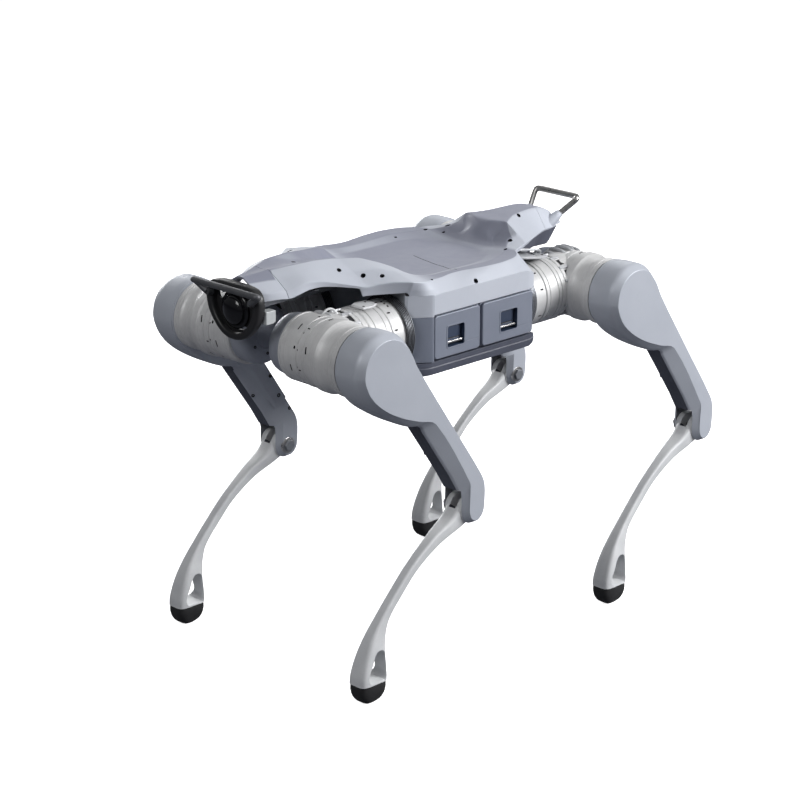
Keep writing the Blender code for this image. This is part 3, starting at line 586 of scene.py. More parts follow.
# ================================================================ top shell, nose, tail
# x, then (y, z) of half a section: centre, valley, crest, shoulder, facet, skirt
TOP = [
    (0.3150, [(0, .5725), (.0030, .5726), (.0055, .5724), (.0185, .5654), (.0345, .5545), (.0375, .5441)]),
    (0.3020, [(0, .5738), (.0045, .5740), (.0075, .5741), (.0225, .5665), (.0410, .5550), (.0440, .5447)]),
    (0.2900, [(0, .5750), (.0062, .5754), (.0102, .5757), (.0262, .5675), (.0455, .5553), (.0490, .5454)]),
    (0.2770, [(0, .5760), (.0082, .5768), (.0138, .5778), (.0305, .5679), (.0495, .5545), (.0545, .5450)]),
    (0.2620, [(0, .5766), (.0120, .5776), (.0200, .5790), (.0375, .5701), (.0550, .5592), (.0590, .5490)]),
    (0.2460, [(0, .5768), (.0140, .5782), (.0245, .5806), (.0425, .5728), (.0598, .5634), (.0615, .5530)]),
    (0.2300, [(0, .5758), (.0145, .5776), (.0260, .5811), (.0460, .5727), (.0655, .5625), (.0650, .5540)]),
    (0.2130, [(0, .5738), (.0083, .5744), (.0272, .5812), (.0500, .5707), (.0722, .5586), (.0710, .5525)]),
    (0.1950, [(0, .5718), (.0085, .5724), (.0290, .5802), (.0550, .5681), (.0808, .5541), (.0795, .5495)]),
    (0.1790, [(0, .5694), (.0091, .5700), (.0315, .5788), (.0600, .5655), (.0892, .5498), (.0875, .5462)]),
    (0.1735, [(0, .5680), (.0094, .5686), (.0328, .5780), (.0622, .5646), (.0925, .5488), (.0880, .5345)]),
    (0.1700, [(0, .5670), (.0095, .5676), (.0335, .5776), (.0635, .5642), (.0945, .5484), (.0895, .5348)]),
    (0.1580, [(0, .5630), (.0102, .5636), (.0362, .5762), (.0690, .5644), (.1012, .5508), (.0952, .5350)]),
    (0.1380, [(0, .5545), (.0127, .5551), (.0400, .5738), (.0780, .5643), (.1150, .5530), (.1068, .5350)]),
    (0.1205, [(0, .5476), (.0176, .5482), (.0522, .5680), (.0904, .5610), (.1282, .5521), (.1176, .5352)]),
    (0.1180, [(0, .5468), (.0182, .5474), (.0540, .5672), (.0920, .5605), (.1300, .5518), (.1187, .5302)]),
    (0.1000, [(0, .5412), (.0231, .5418), (.0690, .5590), (.1010, .5536), (.1318, .5490), (.1337, .5300)]),
    (0.0800, [(0, .5370), (.0460, .5378), (.0790, .5470), (.1020, .5488), (.1262, .5470), (.1403, .5300)]),
    (0.0550, [(0, .5345), (.0480, .5350), (.0830, .5408), (.1020, .5450), (.1218, .5463), (.1403, .5300)]),
    (0.0300, [(0, .5335), (.0480, .5338), (.0820, .5385), (.0980, .5438), (.1152, .5460), (.1403, .5300)]),
    (0.0120, [(0, .5335), (.0480, .5338), (.0820, .5385), (.0978, .5436), (.1145, .5460), (.1403, .5300)]),
    (-0.0080, [(0, .5336), (.0470, .5339), (.0820, .5385), (.0990, .5438), (.1177, .5460), (.1403, .5300)]),
    (-0.0300, [(0, .5338), (.0460, .5341), (.0820, .5385), (.1010, .5440), (.1233, .5460), (.1403, .5300)]),
    (-0.0600, [(0, .5340), (.0440, .5345), (.0800, .5390), (.1030, .5446), (.1254, .5462), (.1403, .5300)]),
    (-0.0810, [(0, .5345), (.0400, .5352), (.0720, .5395), (.0980, .5448), (.1224, .5463), (.1403, .5300)]),
    (-0.0970, [(0, .5352), (.0360, .5360), (.0650, .5405), (.0920, .5452), (.1178, .5464), (.1401, .5290)]),
    (-0.1120, [(0, .5365), (.0310, .5372), (.0580, .5420), (.0830, .5462), (.1062, .5467), (.1368, .5245)]),
    (-0.1180, [(0, .5378), (.0280, .5384), (.0550, .5430), (.0780, .5468), (.0988, .5470), (.1346, .5208)]),
    (-0.1200, [(0, .5382), (.0270, .5388), (.0540, .5434), (.0770, .5469), (.0972, .5470), (.0955, .5405)]),
    (-0.1350, [(0, .5470), (.0180, .5445), (.0380, .5450), (.0640, .5495), (.0905, .5470), (.0880, .5405)]),
    (-0.1450, [(0, .5650), (.0130, .5610), (.0300, .5500), (.0580, .5520), (.0862, .5470), (.0835, .5408)]),
    (-0.1510, [(0, .5700), (.0200, .5695), (.0340, .5560), (.0590, .5535), (.0835, .5470), (.0808, .5410)]),
    (-0.1560, [(0, .5712), (.0270, .5718), (.0400, .5640), (.0600, .5550), (.0812, .5470), (.0785, .5412)]),
    (-0.1600, [(0, .5716), (.0270, .5720), (.0405, .5720), (.0600, .5592), (.0795, .5470), (.0768, .5414)]),
    (-0.1730, [(0, .5722), (.0215, .5725), (.0335, .5727), (.0525, .5606), (.0735, .5470), (.0708, .5418)]),
    (-0.1940, [(0, .5738), (.0140, .5742), (.0238, .5743), (.0422, .5617), (.0632, .5468), (.0606, .5424)]),
    (-0.2140, [(0, .5746), (.0120, .5751), (.0208, .5752), (.0362, .5620), (.0536, .5466), (.0512, .5428)]),
    (-0.2340, [(0, .5750), (.0115, .5755), (.0195, .5755), (.0312, .5617), (.0440, .5460), (.0420, .5426)]),
    (-0.2460, [(0, .5746), (.0115, .5750), (.0190, .5748), (.0290, .5606), (.0392, .5452), (.0374, .5424)]),
    (-0.2640, [(0, .5715), (.0110, .5716), (.0180, .5711), (.0262, .5580), (.0342, .5440), (.0328, .5418)]),
    (-0.2800, [(0, .5645), (.0105, .5644), (.0165, .5636), (.0235, .5535), (.0300, .5446), (.0292, .5428)]),
]
TOP_X = [r[0] for r in reversed(TOP)]
TOP_K = [[[r[1][k][c] for r in reversed(TOP)] for c in (0, 1)] for k in range(6)]


def half_section(x):
    return [(pchip(TOP_X, TOP_K[k][0], x), pchip(TOP_X, TOP_K[k][1], x)) for k in range(6)]


def section_path(x):
    h = half_section(x)
    # a shallow shelf under the deck's edge, half way along the wall
    e, k = Vector(h[4]), Vector(h[5])
    u = (x + .046) / .077
    swell = math.sin(math.pi * u) ** 2 if 0 < u < 1 else 0.0
    brow = e.lerp(k, .45) + Vector((.0008, .0030)) * swell
    h = h[:5] + [tuple(brow)] + h[5:]
    pts = [(x + XC, y, z) for y, z in reversed(h)] + [(x + XC, -y, z) for y, z in h[1:]]
    # skirt end, brow, facet edge, shoulder, crest, valley, centre, and back
    rad = [0, .0060, .0022, .0030, .0036, .0200, .012, .0200, .0036, .0030, .0022, .0060, 0]
    return fillet(pts, rad, 5)


def shell_rows(xs):
    return [section_path(x) for x in xs]


def frange(a, b, step):
    n = max(1, int(round(abs(b - a) / step)))
    return [a + (b - a) * i / n for i in range(n + 1)]


def sheet_piece(name, rows, thick, mats, nodes):
    bm = bmesh.new()
    grid = [[bm.verts.new(p) for p in r] for r in rows]
    for a, b in zip(grid, grid[1:]):
        for i in range(len(a) - 1):
            bm.faces.new((a[i], a[i + 1], b[i + 1], b[i]))
    bmesh.ops.recalc_face_normals(bm, faces=bm.faces)
    if sum(f.normal.z for f in bm.faces) < 0:
        bmesh.ops.reverse_faces(bm, faces=bm.faces)
    me = bpy.data.meshes.new(name)
    bm.to_mesh(me)
    bm.free()
    ob = bpy.data.objects.new(name, me)
    bpy.context.scene.collection.objects.link(ob)
    for m in mats:
        me.materials.append(m)
    s = ob.modifiers.new("wall", "SOLIDIFY")
    s.thickness = thick
    s.offset = -1
    s.use_even_offset = False
    bpy.context.view_layer.update()
    apply_mods(ob)
    READY.append((ob, "trunk", tuple(nodes), "plastic_shell"))
    return ob


# the cutter's faces pass their material index to the cut's walls and floor; black there is painted shade inside the
# recess
def dark_cutter(bm, index=1):
    for f in bm.faces:
        f.material_index = index
    return bm


def cyl(p, n, r, d0, d1, seg=24, squash_dir=None, k=1.0, bm=None):
    """Cylinder from p + n*d0 to p + n*d1; squash_dir stretches it by k along that direction."""
    bm = bm or bmesh.new()
    p, n = Vector(p), Vector(n).normalized()
    u = Vector(squash_dir) if squash_dir else n.orthogonal()
    u = (u - n * u.dot(n)).normalized()
    w = n.cross(u)
    return loft([[p + n * d + (u * math.cos(2 * math.pi * i / seg) * k + w * math.sin(2 * math.pi * i / seg)) * r for i in range(seg)]
                 for d in (d0, d1)], bm=bm)


def facet_point(x, s, t):
    """Point and outward normal on the side facet; t 0 at the shoulder, 1 at the lower edge."""
    def at(xx, tt):
        h = half_section(xx)
        a, b = Vector((xx + XC, h[3][0] * s, h[3][1])), Vector((xx + XC, h[4][0] * s, h[4][1]))
        return a.lerp(b, tt)
    p = at(x, t)
    n = (at(x + .004, t) - at(x - .004, t)).cross(at(x, t + .05) - at(x, t - .05)).normalized()
    if n.y * s < 0:
        n = -n
    return p, n


def slant_cut(ob, point, normal, keep_above):
    """Cuts a shell piece with a plane and keeps one side."""
    bm = bmesh.new()
    bm.from_mesh(ob.data)
    geom = bm.verts[:] + bm.edges[:] + bm.faces[:]
    bmesh.ops.bisect_plane(bm, geom=geom, plane_co=point, plane_no=normal, clear_outer=not keep_above, clear_inner=keep_above, dist=1e-6)
    edges = [e for e in bm.edges if len(e.link_faces) == 1]
    if edges:
        bmesh.ops.edgeloop_fill(bm, edges=edges)
    bm.to_mesh(ob.data)
    bm.free()


def soften(ob, width=.0004, angle=50, sharp=38):
    return bevel(ob, width, 2, angle, sharp)


def stations(a, b, step, extra=()):
    xs = sorted(set([round(x, 5) for x in frange(a, b, step)] + [x for x in extra if min(a, b) < x < max(a, b)]), reverse=True)
    return [x for i, x in enumerate(xs) if i in (0, len(xs) - 1) or x in extra or min(abs(x - e) for e in extra or (9,)) > .0012]


def surface_z(x, y):
    """Height of the shell's outer face at a design x and a y inside the facet edges."""
    path = section_path(x)
    for p, q in zip(path, path[1:]):
        if min(p[1], q[1]) <= y <= max(p[1], q[1]) and abs(p[1] - q[1]) > 1e-9 and max(p[2], q[2]) > .5335:
            t = (y - p[1]) / (q[1] - p[1])
            return p[2] + (q[2] - p[2]) * t
    return .54


def groove_along(points, r=.0007):
    """Cutter for a fine line that follows the shell; points are design (x, y)."""
    dense = []
    for (xa, ya), (xb, yb) in zip(points, points[1:]):
        n = max(2, int(math.hypot(xb - xa, yb - ya) / .003))
        dense += [(xa + (xb - xa) * i / n, ya + (yb - ya) * i / n) for i in range(n)]
    dense.append(points[-1])
    return sweep([(x + XC, y, surface_z(x, y) + .0001) for x, y in dense], r, 8)


# design x and y, side (0 both), radius, stretch
HOLES = ((.1870, .0555, 0, .0033, 1.35), (.1625, .0770, 0, .0034, 1.35), (.1425, .0935, 0, .0032, 1.35),
         (-.1440, .0630, 0, .0034, 1.35), (-.1155, .0810, 0, .0026, 1.35), (-.2015, .0262, 0, .0032, 1.3),
         (.0775, .1240, 0, .0018, 1.3), (.2205, .0010, 1, .0034, 1.2), (-.0640, .0915, -1, .0020, 1.3),
         (-.1265, .0545, -1, .0020, 1.3), (.0037, .1368, 0, .0034, 1.4))


def build_shells():
    slot_mats = [M["shell"], M["slot"]]
    extra = (.1790, .1765, .1750, .1735, .1700, .1225, .1205, .1192, .1180, -.1120, -.1180, -.1190, -.1200, -.1350, -.1400, -.1450,
             -.1480, -.1510, -.1535, -.1560, -.1580, -.1600)
    body = sheet_piece("top_shell_skin", shell_rows(stations(.2772, -.2462, .0052, extra)), .0026, slot_mats, ["top_shell"])
    holes = bmesh.new()
    for s in (1, -1):
        for x, y, only, r, k in HOLES:
            if only and only != s:
                continue
            h = surface_z(x, y)
            px, py = Vector((.004, 0, surface_z(x + .004, y) - h)), Vector((0, .002, surface_z(x, y + .002) - h))
            n = px.cross(py).normalized()
            n.y *= s
            cyl((x + XC, s * y, h), n, r, -.008, .004, 24, (.6, s * .2, -1), k, holes)
    # the holes' walls take the black: painted shade inside the holes
    cut(body, dark_cutter(holes), selfcut=True)
    for line in (((-.030, -.020), (-.026, -.003), (-.014, .055), (.009, .1045)),):
        g = groove_along(line)
        # the groove's walls take the black: painted shade in the groove
        cut(body, dark_cutter(g))
    resharp(body, 38)
    nose = sheet_piece("nose_skin", shell_rows(stations(.3160, .2779, .0038)), .0026, slot_mats, ["nose_cover"])
    resharp(nose, 38)
    tail = sheet_piece("tail_skin", shell_rows(stations(-.2468, -.2800, .0034)), .0026, slot_mats, ["tail_cover"])
    resharp(tail, 38)
    # hull under the hump; its dark paint is painted shade under the hump
    hull = ((-.1215, .0935, .5440, .0920, .5428), (-.1350, .0878, .5440, .0850, .5398), (-.1500, .0812, .5438, .0780, .5368),
            (-.1800, .0680, .5436, .0640, .5310), (-.2050, .0560, .5436, .0510, .5265), (-.2220, .0470, .5434, .0380, .5225),
            (-.2400, .0385, .5430, .0290, .5188), (-.2620, .0328, .5422, .0280, .5184), (-.2720, .0308, .5425, .0270, .5262),
            (-.2825, .0290, .5432, .0262, .5385))
    hx = [r[0] for r in reversed(hull)]
    hv = [[r[k] for r in reversed(hull)] for k in range(1, 5)]
    rows = []
    for x in frange(-.1215, -.2825, .0050):
        yt, zt, yl, zl = [pchip(hx, v, x) for v in hv]
        zi = min(zl - .0015, .5300)
        half = [(yt, zt), (yl, zl), (yl - .010, zi), (0, zi)]
        pts = [(x + XC, y, z) for y, z in half] + [(x + XC, -y, z) for y, z in reversed(half[:-1])]
        rows.append(fillet(pts, [0, .0030, .006, .01, .006, .0030, 0], 4))
    hull_ob = sheet_piece("tail_hull", rows, -.0018, [M["hull"]], ["rear_sensor"])
    resharp(hull_ob, 40)
    end = rows[-1]
    bm = loft([[(p[0] - d, p[1] * k, p[2]) for p in end] for d, k in ((-.0030, .985), (.0000, .985), (.0008, .97))])
    new_piece("tail_hull_end", bm, M["hull"], "trunk", (), "dark_pan", 40)


# ================================================================ torso sides
DOORS = {"rear": (-.1128, -.0072), "front": (-.0046, .0878)}
WINDOWS = {"rear": (-.0790, -.0450), "front": (.0285, .0615)}


def build_torso():
    def wall_y(x):
        u, v = max(0.0, (x - .0900) / .0280), max(0.0, (-.1000 - x) / .0180)
        return .1400 - .0215 * u ** 1.15 - .0056 * v ** 1.5
    for tag, s in (("left", 1), ("right", -1)):
        rings = []
        for x in frange(-.1180, -.1000, .003) + frange(-.0950, .0882, .0229):
            v = max(0.0, (-.0970 - x) / .0210)
            y, top = wall_y(x), .5302 - .0096 * v ** 1.4
            sec = [(y - .0080, .5012), (y, .5012), (y, top - .0010), (y - .0006, top), (y - .0080, top)]
            ring = [Vector((x + XC, s * a, z)) for a, z in sec]
            ring.append(ring[0])
            rings.append(fillet(ring, [0, .0008, .0010, .0004, .0008, 0], 4)[:-1])
        ob = new_piece("side_wall_%s" % tag, loft(rings), M["shell"], "trunk", ["side_shell_" + tag], "plastic_shell", 40)
        resharp(ob, 40)
        # front corner, one surface from the belly up to the shell
        xs = [.0884, .0886, .0905] + frange(.0930, .1180, .0025)
        out = [(x + XC, wall_y(x), 0) for x in xs]
        low = [(.0884 + XC, .1290, 0)] + out + [(.1180 + XC, .1120, 0), (.0960 + XC, .1260, 0)]
        for part, zs, mat in (("side_column", (.4345, .4365, .4980, .4987), M["door"]), ("side_corner", (.4990, .4997, .5290, .5302), M["shell"])):
            ob = new_piece("%s_%s" % (part, tag), loft([[(p[0], s * p[1], z) for p in low] for z in zs]), mat, "trunk", (), "plastic_shell", 40)
            soften(ob, .0005, 40, 45)
        if s < 0:
            wall = box(-.1165 + XC, .0900 + XC, -.1385, -.1335, .4345, .5040)
            ob = new_piece("side_panel_right", wall, M["shell"], "trunk", (), "plastic_shell")
            grooves = bmesh.new()
            for x in (-.0750, -.0350, .0050, .0450):
                box(x + XC, x + .024 + XC, -.1400, -.1378, .4520, .4860, grooves)
            for f in grooves.faces:
                f.material_index = 1
            ob.data.materials.append(M["shade"])
            cut(ob, grooves)
            bevel(ob, .0010, 2, 40, 45)
        # short slit beside the shell's front corner, drawn as a black piece: painted shade of the slit
        slit = loft([[(.1168 + XC, s * .1170, z), (.1196 + XC, s * .1150, z), (.1199 + XC, s * .1186, z), (.1176 + XC, s * .1202, z)] for z in (.5302, .5372)])
        new_piece("corner_slit_" + tag, slit, M["slot"], "trunk", (), "guard_plastic")
    # belly: a dark tray with a step along its side
    half = [(.0, .4130), (.118, .4130), (.1335, .4140), (.1376, .4160), (.1380, .4252), (.1372, .4262), (.1372, .4334), (.1320, .4334),
            (.1290, .4310), (.0, .4245)]
    rings = []
    for x, k, up in [(-.1180, .988, .0085), (-.1150, .994, .0040), (-.1075, 1.0, 0)] + [(x, 1.0, 0) for x in frange(-.09, .088, .0356)] \
            + [(.0960, .992, 0), (.1060, .960, 0), (.1180, .912, .0010)]:
        row = [(y * k, z + (up * (1 - (z - .4130) / .02) if z < .430 else 0)) for y, z in half]
        rings.append([(x + XC, y, z) for y, z in row] + [(x + XC, -y, z) for y, z in reversed(row[1:-1])])
    ob = new_piece("belly_skin", loft(rings), M["dark"], "trunk", ["belly_pan"], "dark_pan", 40)
    cutr = bmesh.new()
    for y in (-.075, -.045, -.015, .015, .045, .075):
        box(-.080 + XC, .060 + XC, y - .004, y + .004, .4110, .4142, cutr)
    cut(ob, cutr)
    bevel(ob, .0009, 2, 35, 45)


def build_batteries():
    for tag in ("front", "rear"):
        x0, x1 = DOORS[tag]
        w0, w1 = WINDOWS[tag]
        body = "battery_%s_body" % tag
        z0, z1 = .4350, .4998
        def plate(inset, rad, n=7):
            a0, a1, c0, c1 = x0 + inset, x1 - inset, z0 + inset, z1 - inset
            pts = []
            for cx, cz, st in ((a1 - rad, c1 - rad, 0), (a0 + rad, c1 - rad, 90), (a0 + rad, c0 + rad, 180), (a1 - rad, c0 + rad, 270)):
                pts += arc((cx, cz), rad, st, st + 90, n)
            return pts
        rings = []
        for y, inset, rad in ((.012, .0, .0030), (.1340, .0, .0030), (.1346, .0012, .0050), (.1352, .0014, .0052), (.1380, .0014, .0052),
                              (.1388, .0017, .0049), (.1392, .0024, .0042), (.1392, .0034, .0036)):
            rings.append([(x + XC, y, z) for x, z in plate(inset, rad)])
        ob = new_piece("battery_case_" + tag, loft(rings), M["door"], body, ["battery_" + tag], "battery_door", 40)
        ob.data.materials.append(M["pocket"])
        ob.data.materials.append(M["shell"])
        rad = .0028
        pts = []
        for cx, cz, st in ((w1 - rad, .4795 - rad, 0), (w0 + rad, .4795 - rad, 90), (w0 + rad, .4495 + rad, 180), (w1 - rad, .4495 + rad, 270)):
            pts += arc((cx, cz), rad, st, st + 90, 6)
        bm = loft([[(x + XC, y, z) for x, z in pts] for y in (.1240, .150)])
        for f in bm.faces:
            f.material_index = 1
        cut(ob, bm)
        # horizontal feature line low on the door
        line = box(x0 + .001 + XC, x0 + .034 + XC, .1385, .1400, .4512, .4518)
        cut(ob, line)
        bevel(ob, .0005, 2, 40, 45)
        # raised frame round the pocket
        rim_out = [(x * 1.0, z) for x, z in pts]
        cxm, czm = (w0 + w1) / 2, (.4495 + .4795) / 2
        def off(pp, d):
            return [(cxm + (x - cxm) * (1 + d / ((w1 - w0) / 2)), czm + (z - czm) * (1 + d / .015)) for x, z in pp]
        rows = [off(pts, .0002), off(pts, .0002), off(pts, .0018), off(pts, .0022)]
        ys = (.1385, .1398, .1398, .1385)
        bm = bmesh.new()
        rr = [[bm.verts.new((x + XC, y, z)) for x, z in row] for row, y in zip(rows, ys)]
        n = len(pts)
        for a, b in zip(rr, rr[1:] + rr[:1]):
            for i in range(n):
                j = (i + 1) % n
                bm.faces.new((a[i], a[j], b[j], b[i]))
        new_piece("pocket_rim_" + tag, bm, M["door"], body, (), "battery_door", 40)
        # latch flap with a bright lip
        lb = "latch_%s_body" % tag
        a0, a1 = w0 + .0012 + XC, w1 - .0012 + XC
        prof = [(.1298, .4545), (.1336, .4545), (.1336, .4758), (.1328, .4772), (.1312, .4772), (.1298, .4760)]
        bm = loft([[(x, y, z) for y, z in prof] for x in (a0, a1)])
        ob = new_piece("latch_flap_" + tag, bm, M["pocket"], lb, ["latch_" + tag], "steel", 40)
        ob.data.materials.append(M["slot"])
        # groove across the flap; its walls take the black, painted shade in the groove
        rib = bmesh.new()
        box(a0 + .0030, a1 - .0030, .1328, .1345, .4590, .4604, rib)
        for f in rib.faces:
            f.material_index = 1
        cut(ob, rib)
        bevel(ob, .0004, 2, 40, 45)
        lipc = [(.1330, .4540), (.1372, .4540), (.1372, .4566), (.1366, .4570), (.1340, .4566), (.1330, .4562)]
        bm = loft([[(x, y, z) for y, z in lipc] for x in (a0, a1)])
        ob = new_piece("latch_lip_" + tag, bm, M["steel"], lb, (), "steel", 40)
        bevel(ob, .0004, 2, 40, 45)


# ================================================================ head and tail
GUARD = [(-.0535, .5430), (-.0490, .5220), (-.0350, .5030), (-.0190, .4915), (.0, .4880), (.0190, .4915),
         (.0350, .5030), (.0490, .5220), (.0535, .5430), (.0500, .5570), (.0380, .5650), (.0, .5670),
         (-.0380, .5650), (-.0500, .5570)]


def build_head():
    line = smooth(GUARD, 6)
    cy, cz = 0.0, .531

    def ring(k, x, dz=0.0):
        return [(x + XC, p.x * k, cz + (p.y - cz) * k + dz) for p in line]
    bm = bmesh.new()
    rows = [ring(.78, .3186), ring(.97, .3182), ring(.993, .3196), ring(1.0, .3225), ring(1.0, .3285), ring(.985, .3310),
            ring(.955, .3320), ring(.815, .3320), ring(.785, .3308), ring(.772, .3280), ring(.772, .3200)]
    vv = [[bm.verts.new(p) for p in r] for r in rows]
    n = len(line)
    for a, b in zip(vv, vv[1:] + vv[:1]):
        for i in range(n):
            j = (i + 1) % n
            bm.faces.new((a[i], a[j], b[j], b[i]))
    new_piece("guard_ring", bm, M["guard"], "trunk", ["sensor_frame"], "guard_plastic", 45)
    # web inside the ring with two light gaps
    web = loft([[(x + XC, p.x * .80, cz + (p.y - cz) * .80) for p in line] for x in (.3190, .3226)])
    ob = new_piece("guard_web", web, M["guard"], "trunk", (), "guard_plastic", 45)
    for s in (1, -1):
        g = loft([[(x + XC, s * p[0], p[1]) for p in smooth([(.0235, .5420), (.0350, .5390), (.0375, .5480), (.0320, .5570), (.0235, .5580)], 5)] for x in (.310, .340)])
        cut(ob, g)
    g = loft([[(x + XC, p[0], p[1]) for p in smooth([(-.0190, .5060), (0, .5010), (.0190, .5060), (.0120, .5080), (0, .5065), (-.0120, .5080)], 5)] for x in (.310, .340)])
    cut(ob, g)
    soften(ob, .0005, 45, 45)
    # dome: stepped lens barrel
    prof = [(0, 0), (.0265, 0), (.0268, .0006), (.0268, .0030), (.0262, .0038), (.0235, .0048), (.0228, .0044), (.0215, .0044), (.0210, .0052)]
    prof += [(.0210 * math.cos(math.radians(a)), .0052 + .0096 * math.sin(math.radians(a))) for a in range(10, 90, 10)] + [(0, .0148)]
    new_piece("dome_lens", spin(prof, W(.3232, 0, .529), "X", 72), M["lens"], "trunk", ["sensor_dome"], "black_lens", 35)
    for tag, s in (("left", 1), ("right", -1)):
        bm = box(.3010 + XC, .3178 + XC, s * .0470 - .0070, s * .0470 + .0070, .5160, .5340)
        ob = new_piece("lamp_block_" + tag, bm, M["lamp"], "trunk", ["front_lamp_" + tag], "lamp_alloy", 40)
        g = bmesh.new()
        box(.3000 + XC, .3050 + XC, *sorted((s * .0520, s * .0560)), .5150, .5176, g)
        cut(ob, g)
        bevel(ob, .0014, 3, 40, 45)
    path = rounded([W(.3370, -.0440, .5480), W(.3400, -.0640, .5600), W(.3440, -.0640, .5620),
                    W(.3440, .0640, .5620), W(.3400, .0640, .5600), W(.3370, .0440, .5480)], .0035, 6)
    rad = [.0045] * len(path)
    new_piece("hand_bar", sweep(path, .0045, 24, radii=rad), M["bar"], "trunk", ["front_handle"], "dark_bar", 50)
    bm = bmesh.new()
    for s in (1, -1):
        sweep([W(.3290, s * .0430, .5470), W(.3375, s * .0440, .5484)], .0052, 20, bm)
        disc_screw(bm, W(.3378, s * .0440, .5486), (1, 0, .1), .0032, .0008)
    new_piece("bar_bosses", bm, M["bar"], "trunk", (), "dark_bar", 50)


def build_tail():
    path = rounded([W(-.2840, -.0290, .5590), W(-.3150, -.0440, .5838), W(-.3150, .0440, .5838), W(-.2840, .0290, .5590)], .011, 10)
    new_piece("lift_loop", sweep(path, .0045, 28), M["steel"], "trunk", ["rear_handle"], "steel", 50)
    bm = bmesh.new()
    for s in (1, -1):
        # sockets that hold the loop
        o = Vector(W(-.2790, s * .0270, .5550))
        d = (Vector((-.0310, s * .0110, .0250))).normalized()
        sweep([o - d * .016, o - d * .008, o + d * .002, o + d * .0100, o + d * .0112], .0062, 28, bm, radii=[.0090, .0086, .0074, .0060, .0052])
    ob = new_piece("loop_sockets", bm, M["shell"], "trunk", (), "end_cap", 45)
    rows = []
    for x, hw, zt, zb in ((-.2560, .0330, .5500, .5452), (-.2800, .0300, .5490, .5448), (-.2925, .0265, .5478, .5444), (-.2960, .0235, .5470, .5448)):
        rows.append([(x + XC, y, z) for y, z in ((-hw, zb), (-hw, zt - .001), (-hw + .001, zt), (hw - .001, zt), (hw, zt - .001), (hw, zb))])
    ob = new_piece("loop_bracket", loft(rows), M["shell"], "trunk", (), "end_cap", 40)
    bevel(ob, .0012, 2, 30, 50)


# ================================================================ legs
BEAM, FRONT = Vector((-.5740, -.8189)), Vector((.8189, -.5740))


def ease(t):
    t = min(1.0, max(0.0, t))
    return t * t * (3 - 2 * t)


HOUSING = [(0, .0503), (.0430, .0503), (.0462, .0509), (.0478, .0525), (.0478, .0560), (.0470, .0566), (.0470, .0574), (.0478, .0580),
           (.0478, .0875), (.0462, .0886), (.0462, .0904), (.0485, .0916), (.0485, .1000), (.0479, .1004), (.0479, .1010),
           (.0485, .1014), (.0485, .1124), (.0492, .1134), (.0505, .1150), (.0505, .1256), (.0498, .1274), (.0482, .1292),
           (.0468, .1330), (.0461, .1380), (.0460, .1400), (.0460, .1452), (.0463, .1484), (.0476, .1508), (.0488, .1522),
           (.0488, .1560), (.0483, .1564), (.0483, .1570), (.0488, .1574), (.0488, .1642), (.0120, .1642), (.0120, .1850), (0, .1850)]
CAP = [(0, .0220), (.0180, .0220), (.0186, .0226), (.0194, .0220), (.0300, .0224), (.0352, .0234), (.0392, .0252), (.0418, .0280),
       (.0430, .0320), (.0436, .0380), (.0436, .0462), (.0430, .0468), (.0430, .0478), (.0436, .0484), (.0436, .0498), (0, .0498)]

WIDE = [(.0, .0510), (.0255, .0442), (.0442, .0255), (.0510, .0), (.0485, -.0150), (.0400, -.0320), (.0260, -.0480),
        (.0060, -.0630), (-.0200, -.0780), (-.0480, -.0905), (-.0760, -.0990), (-.1405, -.2060), (-.1445, -.2180),
        (-.1445, -.2365), (-.1490, -.2500), (-.1580, -.2570), (-.1690, -.2578), (-.1800, -.2520), (-.1860, -.2430),
        (-.1875, -.2330), (-.1880, -.2020), (-.1800, -.1820), (-.1190, -.0940), (-.0570, -.0020), (-.0460, .0220),
        (-.0255, .0442)]
FLAT = [(.0, .0430), (.0215, .0372), (.0372, .0215), (.0430, .0), (.0405, -.0125), (.0325, -.0280), (.0190, -.0425),
        (-.0010, -.0570), (-.0260, -.0700), (-.0560, -.0815), (-.0880, -.0930), (-.1545, -.1930), (-.1560, -.2080),
        (-.1550, -.2350), (-.1570, -.2440), (-.1620, -.2500), (-.1690, -.2520), (-.1760, -.2490), (-.1815, -.2420),
        (-.1835, -.2330), (-.1840, -.2040), (-.1765, -.1855), (-.1160, -.0980), (-.0530, -.0060), (-.0400, .0180),
        (-.0215, .0372)]
INNER = [tuple(a * .975 for a in p) for p in WIDE[:8]] + [(-.0190, -.0760), (-.0470, -.0880), (-.0790, -.0960)] \
    + FLAT[11:23] + [tuple(a * .975 for a in p) for p in WIDE[23:]]

SHANK = [
    ((-.1470, -.2300), (-.1760, -.2500), .0152),
    ((-.1330, -.2450), (-.1530, -.2610), .0135),
    ((-.1030, -.2630), (-.1130, -.2775), .0098),
    ((-.0615, -.2945), (-.0710, -.3045), .0080),
    ((-.0340, -.3210), (-.0440, -.3305), .0080),
    ((-.0060, -.3510), (-.0180, -.3590), .0085),
    ((.0165, -.3790), (-.0095, -.3800), .0110),
    ((.0310, -.4050), (-.0065, -.4050), .0145),
    ((.0400, -.4300), (-.0080, -.4300), .0166),
    ((.0415, -.4432), (-.0078, -.4432), .0170),
]
HOOP = [(.0050, -.3970), (.0130, -.3990), (.0200, -.4100), (.0285, -.4385), (-.0035, -.4385), (-.0040, -.4110), (-.0010, -.4000)]
SOLE = [(.0300, .0248, .0171), (.0220, .0250, .0172), (.0120, .0222, .0158), (.0050, .0170, .0125), (.0, .0085, .0070)]


def prism(outline, y0, y1, bm=None):
    return loft([[(x, y, z) for x, z in outline] for y in (y0, y1)], bm=bm)


